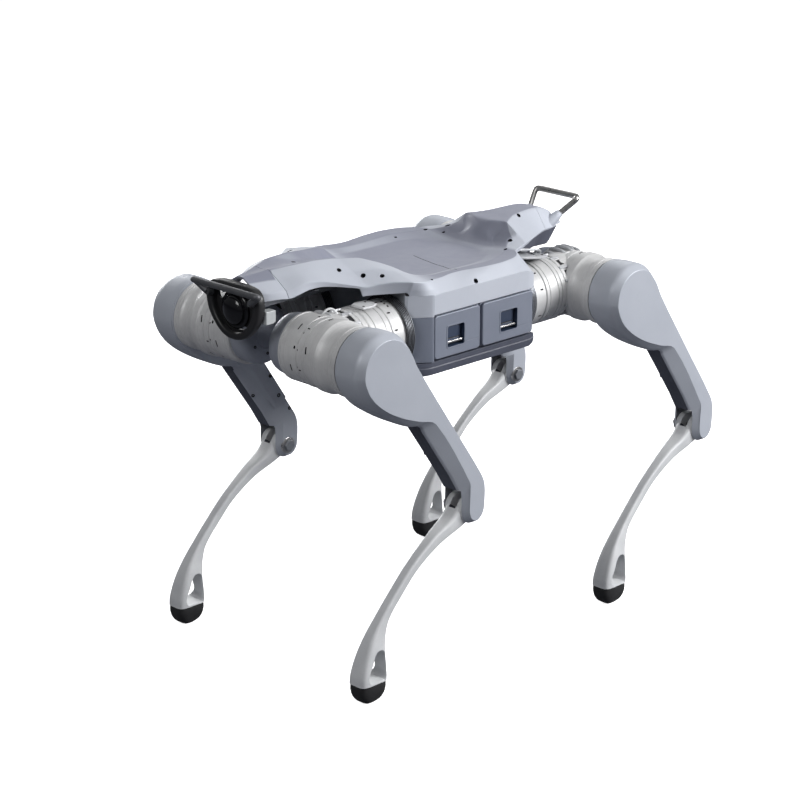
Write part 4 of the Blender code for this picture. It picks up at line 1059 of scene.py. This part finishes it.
def leg(tag, hx, s):
    t = -1 if hx > 0 else 1
    hip, thigh, shank, rod = "hip_" + tag, "thigh_" + tag, "shank_%s_body" % tag, "rod_" + tag
    X = hx + XC
    ky, kz = X + KNEE[0], HIP_Z + KNEE[1]

    def P(x, y, z):
        """Point from the hip axis in x and z; y is the distance from the middle of the robot."""
        return (X + x, s * y, HIP_Z + z)

    # ---- roll actuator fixed in the torso
    face, end = BODY_X + .0003, HIP_X - .0605
    r = ROLL_R
    prof = [(0, face), (r - .004, face), (r - .001, face + .001), (r, face + .003), (r, face + .0340), (r - .0015, face + .0350),
            (r - .0015, face + .0368), (r, face + .0380), (r, face + .0440), (r - .0008, face + .0444), (r - .0008, face + .0450),
            (r, face + .0454), (r, end - .0100), (r - .0012, end - .0094), (r - .0012, end - .0080), (r, end - .0074),
            (r, end - .0030), (r - .0006, end - .0012), (r - .0022, end), (0, end)]
    ob = new_piece("roll_drum_" + tag, spin(prof, W(0, s * ROLL_Y, HIP_Z), "X", 96, -t), M["barrel_x"], "trunk",
                   ["roll_actuator_" + tag], "bare_actuator", 30)
    ob.data.materials.append(M["slot"])
    cutr = bmesh.new()
    for a in (20, 52, 84, 128, 160, 200, 244, 290, 330):
        c, sn = math.cos(math.radians(a)), math.sin(math.radians(a))
        n = Vector((0, c, sn))
        base = Vector((-t * (face + .0280) + XC, s * ROLL_Y, HIP_Z)) + n * r
        cyl(base, n, .0013, -.0025, .003, 14, (1, 0, 0), 2.6, cutr)
    for a in (66, 74, 82):
        c, sn = math.cos(math.radians(a * s + (90 - 90 * s))), math.sin(math.radians(a))
        n = Vector((0, math.cos(math.radians(a)) * s, math.sin(math.radians(a))))
        base = Vector((-t * (face + .0200) + XC, s * ROLL_Y, HIP_Z)) + n * r
        cyl(base, n, .0016, -.002, .003, 12, (1, 0, 0), 1.0, cutr)
    # the slots' walls and floors take the black: painted shade inside the slots
    cut(ob, dark_cutter(cutr))
    resharp(ob, 30)
    # ribbed seal against the torso
    g = [(.0484, face), (.0530, face), (.0535, face + .0005), (.0535, face + .0012)]
    for k in range(5):
        c0, rr = face + .0012 + .0021 * k, .0535 - .00055 * k
        g += [(rr - .0001, c0 + .0002), (rr - .0020, c0 + .0007), (rr - .0021, c0 + .0010), (rr - .0007, c0 + .0015), (rr - .0006, c0 + .0020)]
    g += [(.0500, face + .0118), (.0484, face + .0120)]
    ob = new_piece("roll_seal_" + tag, spin(g, W(0, s * ROLL_Y, HIP_Z), "X", 96, -t, closed=True), M["gasket"], "trunk",
              ["roll_gasket_" + tag], "black_rubber", 50)
    ob.data.materials.append(M["frame"])
    for f in ob.data.polygons:
        if math.hypot(f.center.y - s * ROLL_Y, f.center.z - HIP_Z) > .0505 and (abs(f.center.x - X) - .0) > 0 and abs(f.normal.x) < .72:
            f.material_index = 1

    # ---- hip barrel
    ob = new_piece("hip_barrel_" + tag, spin(HOUSING, P(0, 0, 0), "Y", 112, s), M["barrel_y"], hip,
                   ["hip_housing_" + tag], "bare_actuator", 28)
    ob.data.materials.append(M["slot"])
    cutr = bmesh.new()
    for k in range(10):
        a = math.radians(18 + 36 * k)
        n = Vector((math.cos(a), 0, math.sin(a)))
        if n.x * t < -.55:
            pass
        base = Vector(P(0, 0, 0)) + n * .0485
        # long slots across the barrel, then small square holes
        u = Vector((0, s, 0))
        w = n.cross(u)

        def block(y, hl, hw, depth=.003, turn=0.0):
            c = base + u * y
            ca, sa = math.cos(turn), math.sin(turn)
            uu, ww = u * ca + w * sa, w * ca - u * sa
            lo, hi = c - n * depth, c + n * .004
            loft([[q + uu * (a1 * hl) + ww * (b1 * hw) for a1, b1 in ((-1, -1), (1, -1), (1, 1), (-1, 1))] for q in (lo, hi)], bm=cutr)
        if k % 2 == 0:
            block(.1065, .0012, .0048, .0032, .18)
            block(.0835, .0016, .0020, .0032)
        else:
            block(.0945, .0022, .0010, .0032)
            block(.0765, .0010, .0052, .0030)
    # the slots' walls and floors take the black: painted shade inside the slots
    cut(ob, dark_cutter(cutr))
    resharp(ob, 28)
    # roll flange towards the torso
    a0, a1 = t * .0447, t * .0600
    fl = [(0, a0), (.0462, a0), (.0462, t * .0500), (.0452, t * .0506), (.0452, t * .0516), (.0462, t * .0522), (.0462, t * .0590),
          (.0454, a1), (0, a1)]
    new_piece("roll_flange_" + tag, spin(fl, P(0, ROLL_Y, 0), "X", 96), M["barrel_x"], hip, (), "bare_actuator", 28)
    # smooth saddle between the flange and the barrel
    rows = []
    for k, (xx, rr) in enumerate(((t * .0590, .0400), (t * .0500, .0430), (t * .0400, .0452), (t * .0250, .0466), (t * .0100, .0470))):
        rows.append([Vector(P(xx, ROLL_Y, 0)) + Vector((0, math.cos(2 * math.pi * i / 64) * rr * .98, math.sin(2 * math.pi * i / 64) * rr)) for i in range(64)])
    new_piece("roll_saddle_" + tag, loft(rows), M["barrel_y"], hip, (), "bare_actuator", 28)
    cp = new_piece("barrel_cap_" + tag, spin(CAP, P(0, 0, 0), "Y", 96, s), M["cap"], hip, ["hip_end_cap_" + tag], "end_cap", 28)
    bm = bmesh.new()
    for k in range(6):
        a = math.radians(30 + 60 * k)
        disc_screw(bm, Vector(P(0, .0222, 0)) + Vector((math.cos(a) * .0262, 0, math.sin(a) * .0262)), (0, -s, 0), .0022, .0007)
    new_piece("cap_screws_" + tag, bm, M["screw"], hip, (), "steel")
    # flange screws round the barrel's stepped ring
    bm = bmesh.new()
    for k in range(12):
        a = math.radians(15 + 30 * k)
        n = Vector((math.cos(a), 0, math.sin(a)))
        disc_screw(bm, Vector(P(0, .0895, 0)) + n * .0463, n, .0012, .0006, seg=18)
    new_piece("ring_screws_" + tag, bm, M["screw"], hip, (), "steel")

    # ---- thigh
    def fine(line, n=4):
        return smooth(line, n)
    A, B, C = fine(INNER), fine(WIDE), fine(FLAT)
    cols = []
    for p, q, w in zip(A, B, C):
        # the lower half of the beam has a flat front between two slopes
        al, ac = q.dot(BEAM), q.dot(FRONT)
        f = ease((al - .104) / .022) * (1 - ease((al - .222) / .022)) if ac > -.0120 else 0.0
        crest = q + FRONT * max(0.0, .0012 - ac) * f
        q = Vector((max(crest.x, -.1880), crest.y))
        path = [Vector((p.x, .1680, p.y)), Vector((q.x, .1800, q.y)), Vector((q.x, .2060, q.y)), Vector((w.x, LEG_OUT, w.y)),
                Vector((w.x * .985 - .0010, LEG_OUT, w.y * .985 - .0010))]
        cols.append(fillet(path, [0, .004, .0052, .0042, 0], 4)[:-1])
    rows = list(zip(*cols))
    rings = [[P(v.x, v.y, v.z) for v in row] for row in rows]
    ob = new_piece("thigh_skin_" + tag, loft(rings), M["thigh"], thigh, ["thigh_frame_" + tag], "painted_thigh", 30)
    ob.data.materials.append(M["slot"])
    ob.data.materials.append(M["frame"])

    def yy(a, b):
        return sorted((s * a, s * b))
    slotb = box(X - .2000, X - .1300, *yy(GAP_IN, GAP_OUT), HIP_Z - .2800, HIP_Z - .2035)
    for f in slotb.faces:
        f.material_index = 2
    cut(ob, slotb)
    d, n = Vector((-.5740, -.8189)), Vector((.8189, -.5740))
    chan = [d * a + n * c for a, c in ((-.0200, -.0285), (-.0200, -.0032), (.2800, -.0032), (.2800, -.0285))]
    # the channel's walls take the black: painted shade inside the channel
    cb = prism([(X + q.x, HIP_Z + q.y) for q in chan], *yy(.1868, .1982))
    for f in cb.faces:
        f.material_index = 1
    cut(ob, cb)
    bore = cyl(P(0, .1600, 0), (0, s, 0), .0128, 0, .0258, 48)
    cut(ob, bore)
    cut(ob, dark_cutter(cyl(P(KNEE[0], .1600, KNEE[1]), (0, s, 0), PIN_R + .0003, 0, .0530, 32), 2))
    ob.data.materials.append(M["dark"])
    soften(ob, .0006, 38, 34)
    # painted shade: faces of the lower beam that look forward and down take the dark plastic for the shade on them
    for f in ob.data.polygons:
        v = Vector((f.center.x - X, f.center.z - HIP_Z))
        out = Vector((f.normal.x, f.normal.z)).dot(FRONT)
        if f.material_index == 0 and out > .86 and abs(f.normal.y) < .42 and .098 < v.dot(BEAM) < .262 and v.dot(FRONT) > -.014:
            f.material_index = 3
    # rim of the drum on its inner side
    rim = [(.0130, .1648), (.0440, .1648), (.0474, .1650), (.0486, .1656), (.0490, .1668), (.0490, .1720), (.0130, .1720)]
    new_piece("drum_rim_" + tag, spin(rim, P(0, 0, 0), "Y", 96, s, closed=True), M["thigh"], thigh, (), "painted_thigh", 35)
    # cover screw on the drum
    bm = bmesh.new()
    a = math.radians(60 if hx > 0 else 60)
    sp = Vector((.0190, 0, .0325))
    nrm = Vector((.36, s * .80, .62)).normalized()
    mid = Vector(P(sp.x, .2135, sp.z))
    drum = bpy.data.objects["thigh_skin_" + tag]
    tree = BVHTree.FromPolygons([q.co for q in drum.data.vertices], [list(q.vertices) for q in drum.data.polygons])
    spot, nrm = tree.find_nearest(mid)[:2]
    disc_screw(bm, spot - nrm * .0005, nrm, .0029, .0004)
    new_piece("drum_screw_" + tag, bm, M["screw"], thigh, (), "steel")
    # inner cover plate
    d, n = Vector((-.565, -.825)), Vector((.825, -.565))
    rings = []
    prof = [(.0677, -.0425), (.0640, -.0425), (.0605, -.0395), (.0605, -.0185), (.0677, -.0085)]
    stations = ((.0720, (.1677, .1640, .1605, .1605, .1677), (-.0425, -.0425, -.0395, -.0185, -.0085)),
                (.1000, (.1677, .1632, .1600, .1600, .1677), (-.0425, -.0425, -.0395, -.0185, -.0085)),
                (.2220, (.1677, .1662, .1650, .1650, .1677), (-.0425, -.0425, -.0410, -.0200, -.0165)))
    al = [q[0] for q in stations]
    for a in frange(.0720, .2220, .0060):
        ring = []
        for k in range(5):
            y = pchip(al, [q[1][k] for q in stations], a)
            p = pchip(al, [q[2][k] for q in stations], a)
            v = d * a + n * p
            ring.append(Vector(P(v.x, y, v.y)))
        ring = ring + [ring[0]]
        rings.append(fillet(ring, [0, .0012, .0018, .0030, .0012, 0], 4)[:-1])
    ob = new_piece("thigh_plate_" + tag, loft(rings), M["thigh"], thigh, ["thigh_cover_" + tag], "plastic_shell", 35)
    bevel(ob, .0008, 2, 50, 40)
    bm = bmesh.new()
    for a, p in ((.0820, -.0300), (.1250, -.0340), (.2080, -.0330)):
        v = d * a + n * p
        y = pchip(al, [q[1][2] for q in stations], a)
        disc_screw(bm, P(v.x, y, v.y), (0, -s, 0), .0031, .0006)
    for a, p, y, out in ((.1690, -.0372, .1604, 0), (.2430, -.0378, .1678, 0), (.1820, -.0040, .1772, .7)):
        v = d * a + n * p
        disc_screw(bm, P(v.x, y, v.y), (n.x * out, -s, n.y * out), .0027, .0006)
    new_piece("plate_screws_" + tag, bm, M["screw"], thigh, (), "steel")
    # rod
    ux, uz = -KNEE[0], -KNEE[1]
    ln = math.hypot(ux, uz)
    u, w = Vector((ux, uz)) / ln, Vector((-uz, ux)) / ln
    org = Vector((KNEE[0] + ROCKER[0], KNEE[1] + ROCKER[1]))
    bm = bmesh.new()
    outl = []
    for c, a0 in ((Vector((0, 0)), 90), (Vector((ux, uz)), -90)):
        base = math.degrees(math.atan2(uz, ux))
        for k in range(13):
            aa = math.radians(base + a0 + 180 * k / 12)
            outl.append(org + c + Vector((math.cos(aa), math.sin(aa))) * .0060)
    mid_in = [org + u * .012 + w * .0035, org + u * (ln - .012) + w * .0035]
    ob = new_piece("drive_rod_" + tag, prism([(X + q.x, HIP_Z + q.y) for q in outl], *yy(.1886, .1964)), M["steel"], rod,
                   ["knee_rod_" + tag], "steel", 35)
    cutr = bmesh.new()
    for c in (Vector((0, 0)), Vector((ux, uz))):
        q = org + c
        cyl((X + q.x, s * .1860, HIP_Z + q.y), (0, s, 0), .0033, 0, .0130, 24, bm=cutr)
    cut(ob, cutr)
    cutr = bmesh.new()
    for sg in (1, -1):
        pts = [org + u * .014 + w * sg * .0036, org + u * (ln - .014) + w * sg * .0036, org + u * (ln - .010) + w * sg * .0075, org + u * .010 + w * sg * .0075]
        prism([(X + q.x, HIP_Z + q.y) for q in pts], *yy(.1860, .1990), bm=cutr)
    cut(ob, cutr)
    bevel(ob, .0005, 2, 40, 45)
    # knee pin: hex head inside, plain domed end
    bm = bmesh.new()
    kp = Vector(P(KNEE[0], .1628, KNEE[1]))
    hexp = [(math.cos(math.radians(60 * k + 10)) * .0092, math.sin(math.radians(60 * k + 10)) * .0092) for k in range(6)]
    loft([[(kp.x + a * f, s * y, kp.z + b * f) for a, b in hexp] for y, f in ((.1630, .90), (.1636, 1.0), (.1677, 1.0))], bm=bm)
    ob = new_piece("knee_bolt_" + tag, bm, M["frame"], thigh, ["knee_pin_" + tag], "steel", 30)
    bevel(ob, .0005, 2, 30, 45)
    bm = spin([(0, .1660), (.0046, .1662), (PIN_R, .1670), (PIN_R, .2105), (.0044, .2115), (.0030, .2122), (0, .2125)], P(KNEE[0], 0, KNEE[1]), "Y", 48, s)
    new_piece("knee_shaft_" + tag, bm, M["steel"], thigh, (), "steel", 30)
    bm = spin([(.0052, .1682), (.0052, .1675), (.0118, .1675), (.0124, .1678), (.0126, .1686), (.0126, .1700), (.0052, .1700)], P(KNEE[0], 0, KNEE[1]), "Y", 56, s, closed=True)
    new_piece("knee_washer_" + tag, bm, M["steel"], thigh, (), "steel", 35)

    # ---- shank
    zs = [-(f[1] + r_[1]) / 2 for f, r_, _ in SHANK]
    F = smooth([f for f, _, _ in SHANK], 6, closed=False)
    R = smooth([r_ for _, r_, _ in SHANK], 6, closed=False)
    wd = []
    idx = list(range(len(SHANK)))
    for k in range(len(F)):
        wd.append(pchip(idx, [q[2] for q in SHANK], k / 6))
    rings = []
    for k, (f, r_) in enumerate(zip(F, R)):
        dv = f - r_
        L = dv.length
        hw = wd[k]
        ring = []
        e = .45
        for i in range(32):
            aa = 2 * math.pi * (i + .5) / 32
            ca, sa = math.cos(aa), math.sin(aa)
            uu = .5 * math.copysign(abs(ca) ** e, ca)
            vv = math.copysign(abs(sa) ** e, sa)
            q = r_ + dv * (uu + .5)
            ring.append(P(q.x, YC + vv * hw, q.y))
        rings.append(ring)
    ob = new_piece("shank_arm_" + tag, loft(rings), M["alloy"], shank, ["shank_" + tag], "cast_alloy", 40)
    ob.data.materials.append(M["frame"])
    hoop = smooth(HOOP, 6)
    cutr = prism([(X + q.x, HIP_Z + q.y) for q in hoop], *yy(.1600, .2250))
    for f in cutr.faces:
        f.material_index = 1 if f.calc_center_median().z > .075 else 0
    cut(ob, cutr)
    groove = cyl(P(KNEE[0], .1866, KNEE[1]), (0, s, 0), .0215, 0, .0118, 48)
    for f in groove.faces:
        f.material_index = 1
    cut(ob, groove)
    cut(ob, cyl(P(KNEE[0], .1600, KNEE[1]), (0, s, 0), PIN_R + .0003, 0, .0650, 32))
    soften(ob, .0007, 42, 34)
    # cheeks and rocker pin
    lever = math.degrees(math.atan2(ROCKER[1], ROCKER[0]))
    outline = arc((0, 0), .0192, lever + 70, lever + 290, 33) + arc(ROCKER, .0062, lever - 80, lever + 80, 13)
    for i, (y0, y1) in enumerate(((.1769, .1864), (.1986, .2081))):
        bm = prism([(X + KNEE[0] + a, HIP_Z + KNEE[1] + b) for a, b in outline], *yy(y0, y1))
        ob = new_piece("knee_cheek_%d_%s" % (i, tag), bm, M["alloy"], shank, (), "cast_alloy", 35)
        cut(ob, cyl(P(KNEE[0], .1600, KNEE[1]), (0, s, 0), PIN_R + .0003, 0, .0650, 32))
        bevel(ob, .0008, 3, 40, 45)
    new_piece("rocker_pin_" + tag, cyl(P(KNEE[0] + ROCKER[0], .1850, KNEE[1] + ROCKER[1]), (0, s, 0), .0030, 0, .0150, 28), M["steel"], shank, (), "steel")

    # ---- sole
    zs = [.0300, .0285, .0220, .0160, .0120, .0080, .0050, .0025, .0010, .0003, 0]
    SZ = [q[0] for q in reversed(SOLE)]
    rings = []
    for z in zs:
        a = pchip(SZ, [q[1] for q in reversed(SOLE)], z)
        b = pchip(SZ, [q[2] for q in reversed(SOLE)], z)
        if z == .0300:
            a, b = a - .0008, b - .0008
        ring = []
        for i in range(56):
            th = 2 * math.pi * i / 56
            cx, sy = math.cos(th), math.sin(th)
            e = .62
            ring.append((X + .0170 + a * math.copysign(abs(cx) ** e, cx), s * YC + b * math.copysign(abs(sy) ** e, sy), z - (.0004 if z > .02 else 0)))
        rings.append(ring)
    ob = new_piece("sole_pad_" + tag, loft(rings), M["rubber"], shank, ["foot_sole_" + tag], "black_rubber", 55)
    cutr = bmesh.new()
    for k in range(-2, 3):
        box(X + .0170 + k * .0055 - .0006, X + .0170 + k * .0055 + .0006, s * YC - .03, s * YC + .03, -.002, .0016, cutr)
    cut(ob, cutr)
    resharp(ob, 50)
    # base plate edge over the sole
    ring0 = []
    for z, k in ((.0298, .975), (.0300, .990), (.0316, .990), (.0322, .975)):
        ring = []
        for i in range(56):
            th = 2 * math.pi * i / 56
            cx, sy = math.cos(th), math.sin(th)
            e = .62
            ring.append((X + .0168 + .0246 * k * math.copysign(abs(cx) ** e, cx), s * YC + .0170 * k * math.copysign(abs(sy) ** e, sy), z))
        ring0.append(ring)
    new_piece("foot_plate_" + tag, loft(ring0), M["alloy"], shank, (), "cast_alloy", 40)


# ================================================================ brackets between the roll and pitch barrels
def plate_piece(name, outline, height, thick, windows, mat, body, sx, sy, lined=True):
    """Thin plate that follows height(x); windows are cut through and backed by a black sheet, painted shade behind the
    windows.
    """
    def at(q, lift):
        return (sx * q[0] + XC, sy * q[1], height(q[0]) + lift)
    bm = loft([[at(q, d) for q in outline] for d in (-thick, 0)])
    ob = new_piece(name, bm, mat, body, (), "cast_alloy", 35)
    for w in windows:
        cut(ob, loft([[at(q, d) for q in w] for d in (-.02, .02)]))
    bevel(ob, .0005, 2, 40, 45)
    if windows and lined:
        # black sheets behind the windows: painted shade
        back = bmesh.new()
        for w in windows:
            c = (sum(q[0] for q in w) / len(w), sum(q[1] for q in w) / len(w))
            grown = [(c[0] + (q[0] - c[0]) * 1.12, c[1] + (q[1] - c[1]) * 1.12) for q in w]
            loft([[at(q, d) for q in grown] for d in (-thick - .0010, -thick - .0002)], bm=back)
        new_piece(name + "_painted_shade_sheet", back, M["slot"], body, (), "guard_plastic", 35)
    return ob


def build_brackets():
    for end in ("front", "rear"):
        sx = 1 if end == "front" else -1
        for side, sy in (("left", 1), ("right", -1)):
            tag, hip = "%s_%s" % (end, side), "hip_%s_%s" % (end, side)
            # carrier plate over the roll actuator, on the torso
            if end == "rear":
                plate_piece("carrier_" + tag, [(.1200, .0560), (.1200, .0985), (.1330, .1060), (.1560, .1075), (.1860, .0990), (.1900, .0860),
                                               (.1790, .0640), (.1500, .0545)],
                            lambda x: .5375 - (x - .1200) * .150, .0028,
                            [[(.1580, .0820), (.1780, .0740), (.1700, .0900)], [(.1300, .0640), (.1460, .0620), (.1380, .0840)],
                             [(.1480, .0985), (.1660, .0930), (.1700, .1000)]], M["bracket"], "trunk", sx, sy)
                bm = bmesh.new()
                for x, y, r in ((.1270, .0900, .0022), (.1520, .0690, .0022), (.1800, .0930, .0020), (.1760, .0700, .0018)):
                    disc_screw(bm, (sx * x + XC, sy * y, .5375 - (x - .12) * .150 - .0002), (0, 0, 1), r, .0010)
                new_piece("carrier_screws_" + tag, bm, M["screw"], "trunk", (), "steel")
                # rolled edge of the carrier and the leads clipped along it
                bm = bmesh.new()
                for k, (off, rr) in enumerate(((0, .0016), (.0042, .0013), (.0080, .0014))):
                    path = [(.1215, .0760 + off, .5330), (.1360, .0720 + off * 1.1, .5415 - off * .2), (.1560, .0760 + off, .5385), (.1740, .0800 + off, .5350 + off * .15),
                            (.1850, .0770 + off, .5325), (.1880, .0740 + off, .5262)]
                    sweep(smooth([(sx * q[0] + XC, sy * q[1], q[2]) for q in path], 8, closed=False), rr, 12, bm)
                new_piece("carrier_leads_" + tag, bm, M["bracket"], "trunk", (), "cast_alloy", 60)
            else:
                plate_piece("carrier_" + tag, [(.1580, .0760), (.1580, .0985), (.1700, .1040), (.1870, .1030), (.1875, .0800), (.1780, .0750)],
                            lambda x: .5242, .0030, [], M["alloy"], "trunk", sx, sy)
                bm = bmesh.new()
                disc_screw(bm, (sx * .1650 + XC, sy * .0830, .5240), (0, 0, 1), .0017, .0006)
                disc_screw(bm, (sx * .1820 + XC, sy * .0980, .5240), (0, 0, 1), .0017, .0006)
                new_piece("carrier_screws_" + tag, bm, M["screw"], "trunk", (), "steel")

            def H(x, y, z):
                return Vector((sx * (HIP_X + x) + XC, sy * y, HIP_Z + z))
            # cooling fingers on the inner part of the barrel
            bm = bmesh.new()
            spread = (48, 62, 76, 90, 104, 118, 132) if end == "rear" else (112, 126)
            for k, a in enumerate(spread):
                c, sn = math.cos(math.radians(a)), math.sin(math.radians(a))
                y0, y1 = .0560 + .0012 * (k % 2), .0880 - .0035 * (k % 3)
                n = Vector((sx * c, 0, sn))
                pts = [H(0, y, 0) + n * rr for y, rr in ((y0, .0468), (y0 + .003, .0494), (y0 + .010, .0504), (y1 - .010, .0502), (y1 - .003, .0490), (y1, .0466))]
                sweep(smooth(pts, 4, closed=False), .0026, 12, bm)
            new_piece("barrel_fingers_" + tag, bm, M["bracket"], hip, (), "cast_alloy", 60)
            # ribs over the joint between roll flange and barrel, with black blocks between them as painted shade in the
            # pockets
            ribs, pock = bmesh.new(), bmesh.new()
            for k, a in enumerate((24, 50, 76, 102, 128, 154, 206, 232, 258, 284, 310, 336)):
                c, sn = math.cos(math.radians(a)), math.sin(math.radians(a))
                n = Vector((0, sy * c, sn))
                w = Vector((0, -sy * sn, c))
                o = Vector((sx * HIP_X + XC, sy * ROLL_Y, HIP_Z))
                ax = Vector((-sx, 0, 0))
                def quad(lo, hi, x0, x1, hw, out):
                    loft([[o + ax * xx + n * rr + w * ww for xx, ww in ((x0, -hw), (x1, -hw), (x1, hw), (x0, hw))] for rr in (lo, hi)], bm=out)
                quad(.0400, .0478, .0330, .0505, .0021, ribs)
                aa = math.radians(a + 13)
                n = Vector((0, sy * math.cos(aa), math.sin(aa)))
                w = Vector((0, -sy * math.sin(aa), math.cos(aa)))
                quad(.0380, .0452, .0345, .0492, .0052, pock)
            ob = new_piece("flange_ribs_" + tag, ribs, M["bracket"], hip, (), "cast_alloy", 40)
            bevel(ob, .0006, 2, 40, 45)
            new_piece("flange_pocket_painted_shade_" + tag, pock, M["slot"], hip, (), "guard_plastic", 40)
            if end == "front":
                # small wire hook on top of the barrel
                path = [H(-.0150, .0740, .0455), H(-.0215, .0755, .0515), H(-.0290, .0790, .0510), H(-.0325, .0835, .0445), H(-.0290, .0860, .0385)]
                new_piece("barrel_hook_" + tag, sweep(smooth(path, 8, closed=False), .0017, 14), M["alloy"], hip, (), "cast_alloy", 60)
    # leads along the front beam, under the shell
    for sy in (1, -1):
        bm = bmesh.new()
        for k in range(3):
            y, z = .0200 + .0036 * k, .5395 + .0030 * (k % 2)
            path = [(.1215 + XC, sy * (.030 + .004 * k), .5330), (.1380 + XC, sy * (.024 + .004 * k), .5360), (.1700 + XC, sy * y, z), (.2100 + XC, sy * (y + .001), z + .001),
                    (.2550 + XC, sy * y, z), (.2860 + XC, sy * (.0150 + .003 * k), z + .002)]
            sweep(smooth(path, 8, closed=False), .0015, 12, bm)
        new_piece("front_leads_%s" % ("left" if sy > 0 else "right"), bm, M["rubber"], "trunk", (), "black_rubber", 60)
        bm = bmesh.new()
        for x in (.165, .205, .245):
            box(x - .003 + XC, x + .003 + XC, *sorted((sy * .0163, sy * .0310)), .5372, .5388, bm)
        new_piece("lead_clips_%s" % ("left" if sy > 0 else "right"), bm, M["bracket"], "trunk", (), "cast_alloy", 40)


# ================================================================ stage
AMBIENT = 0.24
FLOOR_GLOW = 0.85
LIGHTS = (
    ("key", (-2.0, 2.75, 1.9), (1.5, 1.0), 148),
    ("upper", (-0.6, 1.4, 2.9), (1.3, 1.3), 14),
    ("front", (2.7, 0.4, 2.1), (1.2, 1.0), 26),
    ("rim", (-2.0, -1.6, 1.8), (1.0, 1.2), 8),
    ("far", (-0.8, -3.0, 1.3), (1.6, 1.1), 60),
)


def build_stage():
    cam = bpy.data.cameras.new("camera")
    co = bpy.data.objects.new("camera", cam)
    bpy.context.scene.collection.objects.link(co)
    co.location = (2.378 + XC, 2.4044, 1.4334)
    co.rotation_euler = (math.radians(71.88), 0, math.radians(135.52))
    cam.lens = 110.33
    cam.sensor_width = 36
    cam.clip_end = 60
    bpy.context.scene.camera = co

    bpy.context.scene.view_settings.view_transform = "Standard"
    w = bpy.data.worlds.new("studio")
    bpy.context.scene.world = w
    w.use_nodes = True
    nt = w.node_tree
    bg = nt.nodes["Background"]
    bg.inputs["Color"].default_value = (1, 1, 1, 1)
    bg.inputs["Strength"].default_value = 1.0
    amb = nt.nodes.new("ShaderNodeBackground")
    amb.inputs["Strength"].default_value = AMBIENT
    tc = nt.nodes.new("ShaderNodeTexCoord")
    sep = nt.nodes.new("ShaderNodeSeparateXYZ")
    nt.links.new(tc.outputs["Generated"], sep.inputs[0])
    up = maprange(nt, sep.outputs["Z"], 0.12, 1.0, -0.25, 0.85)
    nt.links.new(ramp(nt, up, [(0.0, (0.12, 0.13, 0.165)), (1.0, (0.96, 0.98, 1.0))]), amb.inputs["Color"])
    lp = nt.nodes.new("ShaderNodeLightPath")
    mx = nt.nodes.new("ShaderNodeMixShader")
    nt.links.new(lp.outputs["Is Camera Ray"], mx.inputs[0])
    nt.links.new(amb.outputs[0], mx.inputs[1])
    nt.links.new(bg.outputs[0], mx.inputs[2])
    nt.links.new(mx.outputs[0], nt.nodes["World Output"].inputs["Surface"])

    bm = bmesh.new()
    bmesh.ops.create_grid(bm, x_segments=1, y_segments=1, size=14)
    me = bpy.data.meshes.new("floor")
    bm.to_mesh(me)
    bm.free()
    fl = bpy.data.objects.new("floor", me)
    bpy.context.scene.collection.objects.link(fl)
    m, b, nt = shader("floor_paper", specular=0.0)
    v = coords(nt)
    nt.links.new(ramp(nt, noise(nt, v, 3.0, 2.0), [(0.3, (0.80, 0.80, 0.81)), (0.7, (0.83, 0.83, 0.84))]), b.inputs["Base Color"])
    b.inputs["Roughness"].default_value = 0.9
    # the camera sees a lit sheet; the light that the sheet throws back on the robot is kept low
    em = nt.nodes.new("ShaderNodeEmission")
    em.inputs["Strength"].default_value = FLOOR_GLOW
    dim = nt.nodes.new("ShaderNodeBsdfDiffuse")
    dim.inputs["Color"].default_value = (0.12, 0.125, 0.145, 1)
    add = nt.nodes.new("ShaderNodeAddShader")
    lp = nt.nodes.new("ShaderNodeLightPath")
    mx = nt.nodes.new("ShaderNodeMixShader")
    nt.links.new(b.outputs[0], add.inputs[0])
    nt.links.new(em.outputs[0], add.inputs[1])
    nt.links.new(lp.outputs["Is Camera Ray"], mx.inputs[0])
    nt.links.new(dim.outputs[0], mx.inputs[1])
    nt.links.new(add.outputs[0], mx.inputs[2])
    nt.links.new(mx.outputs[0], nt.nodes["Material Output"].inputs["Surface"])
    me.materials.append(m)

    def light(name, loc, target, size, power, color=(1, 1, 1)):
        ld = bpy.data.lights.new(name, "AREA")
        ld.shape = "RECTANGLE"
        ld.size, ld.size_y = size
        ld.energy = power
        ld.color = color
        o = bpy.data.objects.new(name, ld)
        bpy.context.scene.collection.objects.link(o)
        o.location = loc
        o.rotation_euler = (Vector(target) - Vector(loc)).to_track_quat("-Z", "Y").to_euler()
        return o
    for name, loc, size, power in LIGHTS:
        light(name, loc, (0, 0, .38), size, power)


# ================================================================ assembly
build_shells()
build_torso()
build_batteries()
build_head()
build_tail()
for leg_tag, hip_x, side in (("front_left", HIP_X, 1), ("front_right", HIP_X, -1),
                             ("rear_left", -HIP_X, 1), ("rear_right", -HIP_X, -1)):
    leg(leg_tag, hip_x, side)
build_brackets()

for ob, body, nodes, slot_name in READY:
    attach(ob, body)
    if nodes:
        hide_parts(*nodes)

for node_name, key in (("chassis_frame", "frame"), ("compute_module", "board")):
    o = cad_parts[node_name]
    o.data.materials.clear()
    o.data.materials.append(M[key])
    b = o.modifiers.new("edges", "BEVEL")
    b.width = .0010
    b.segments = 2
    b.limit_method = "ANGLE"
    b.angle_limit = math.radians(40)

build_stage()
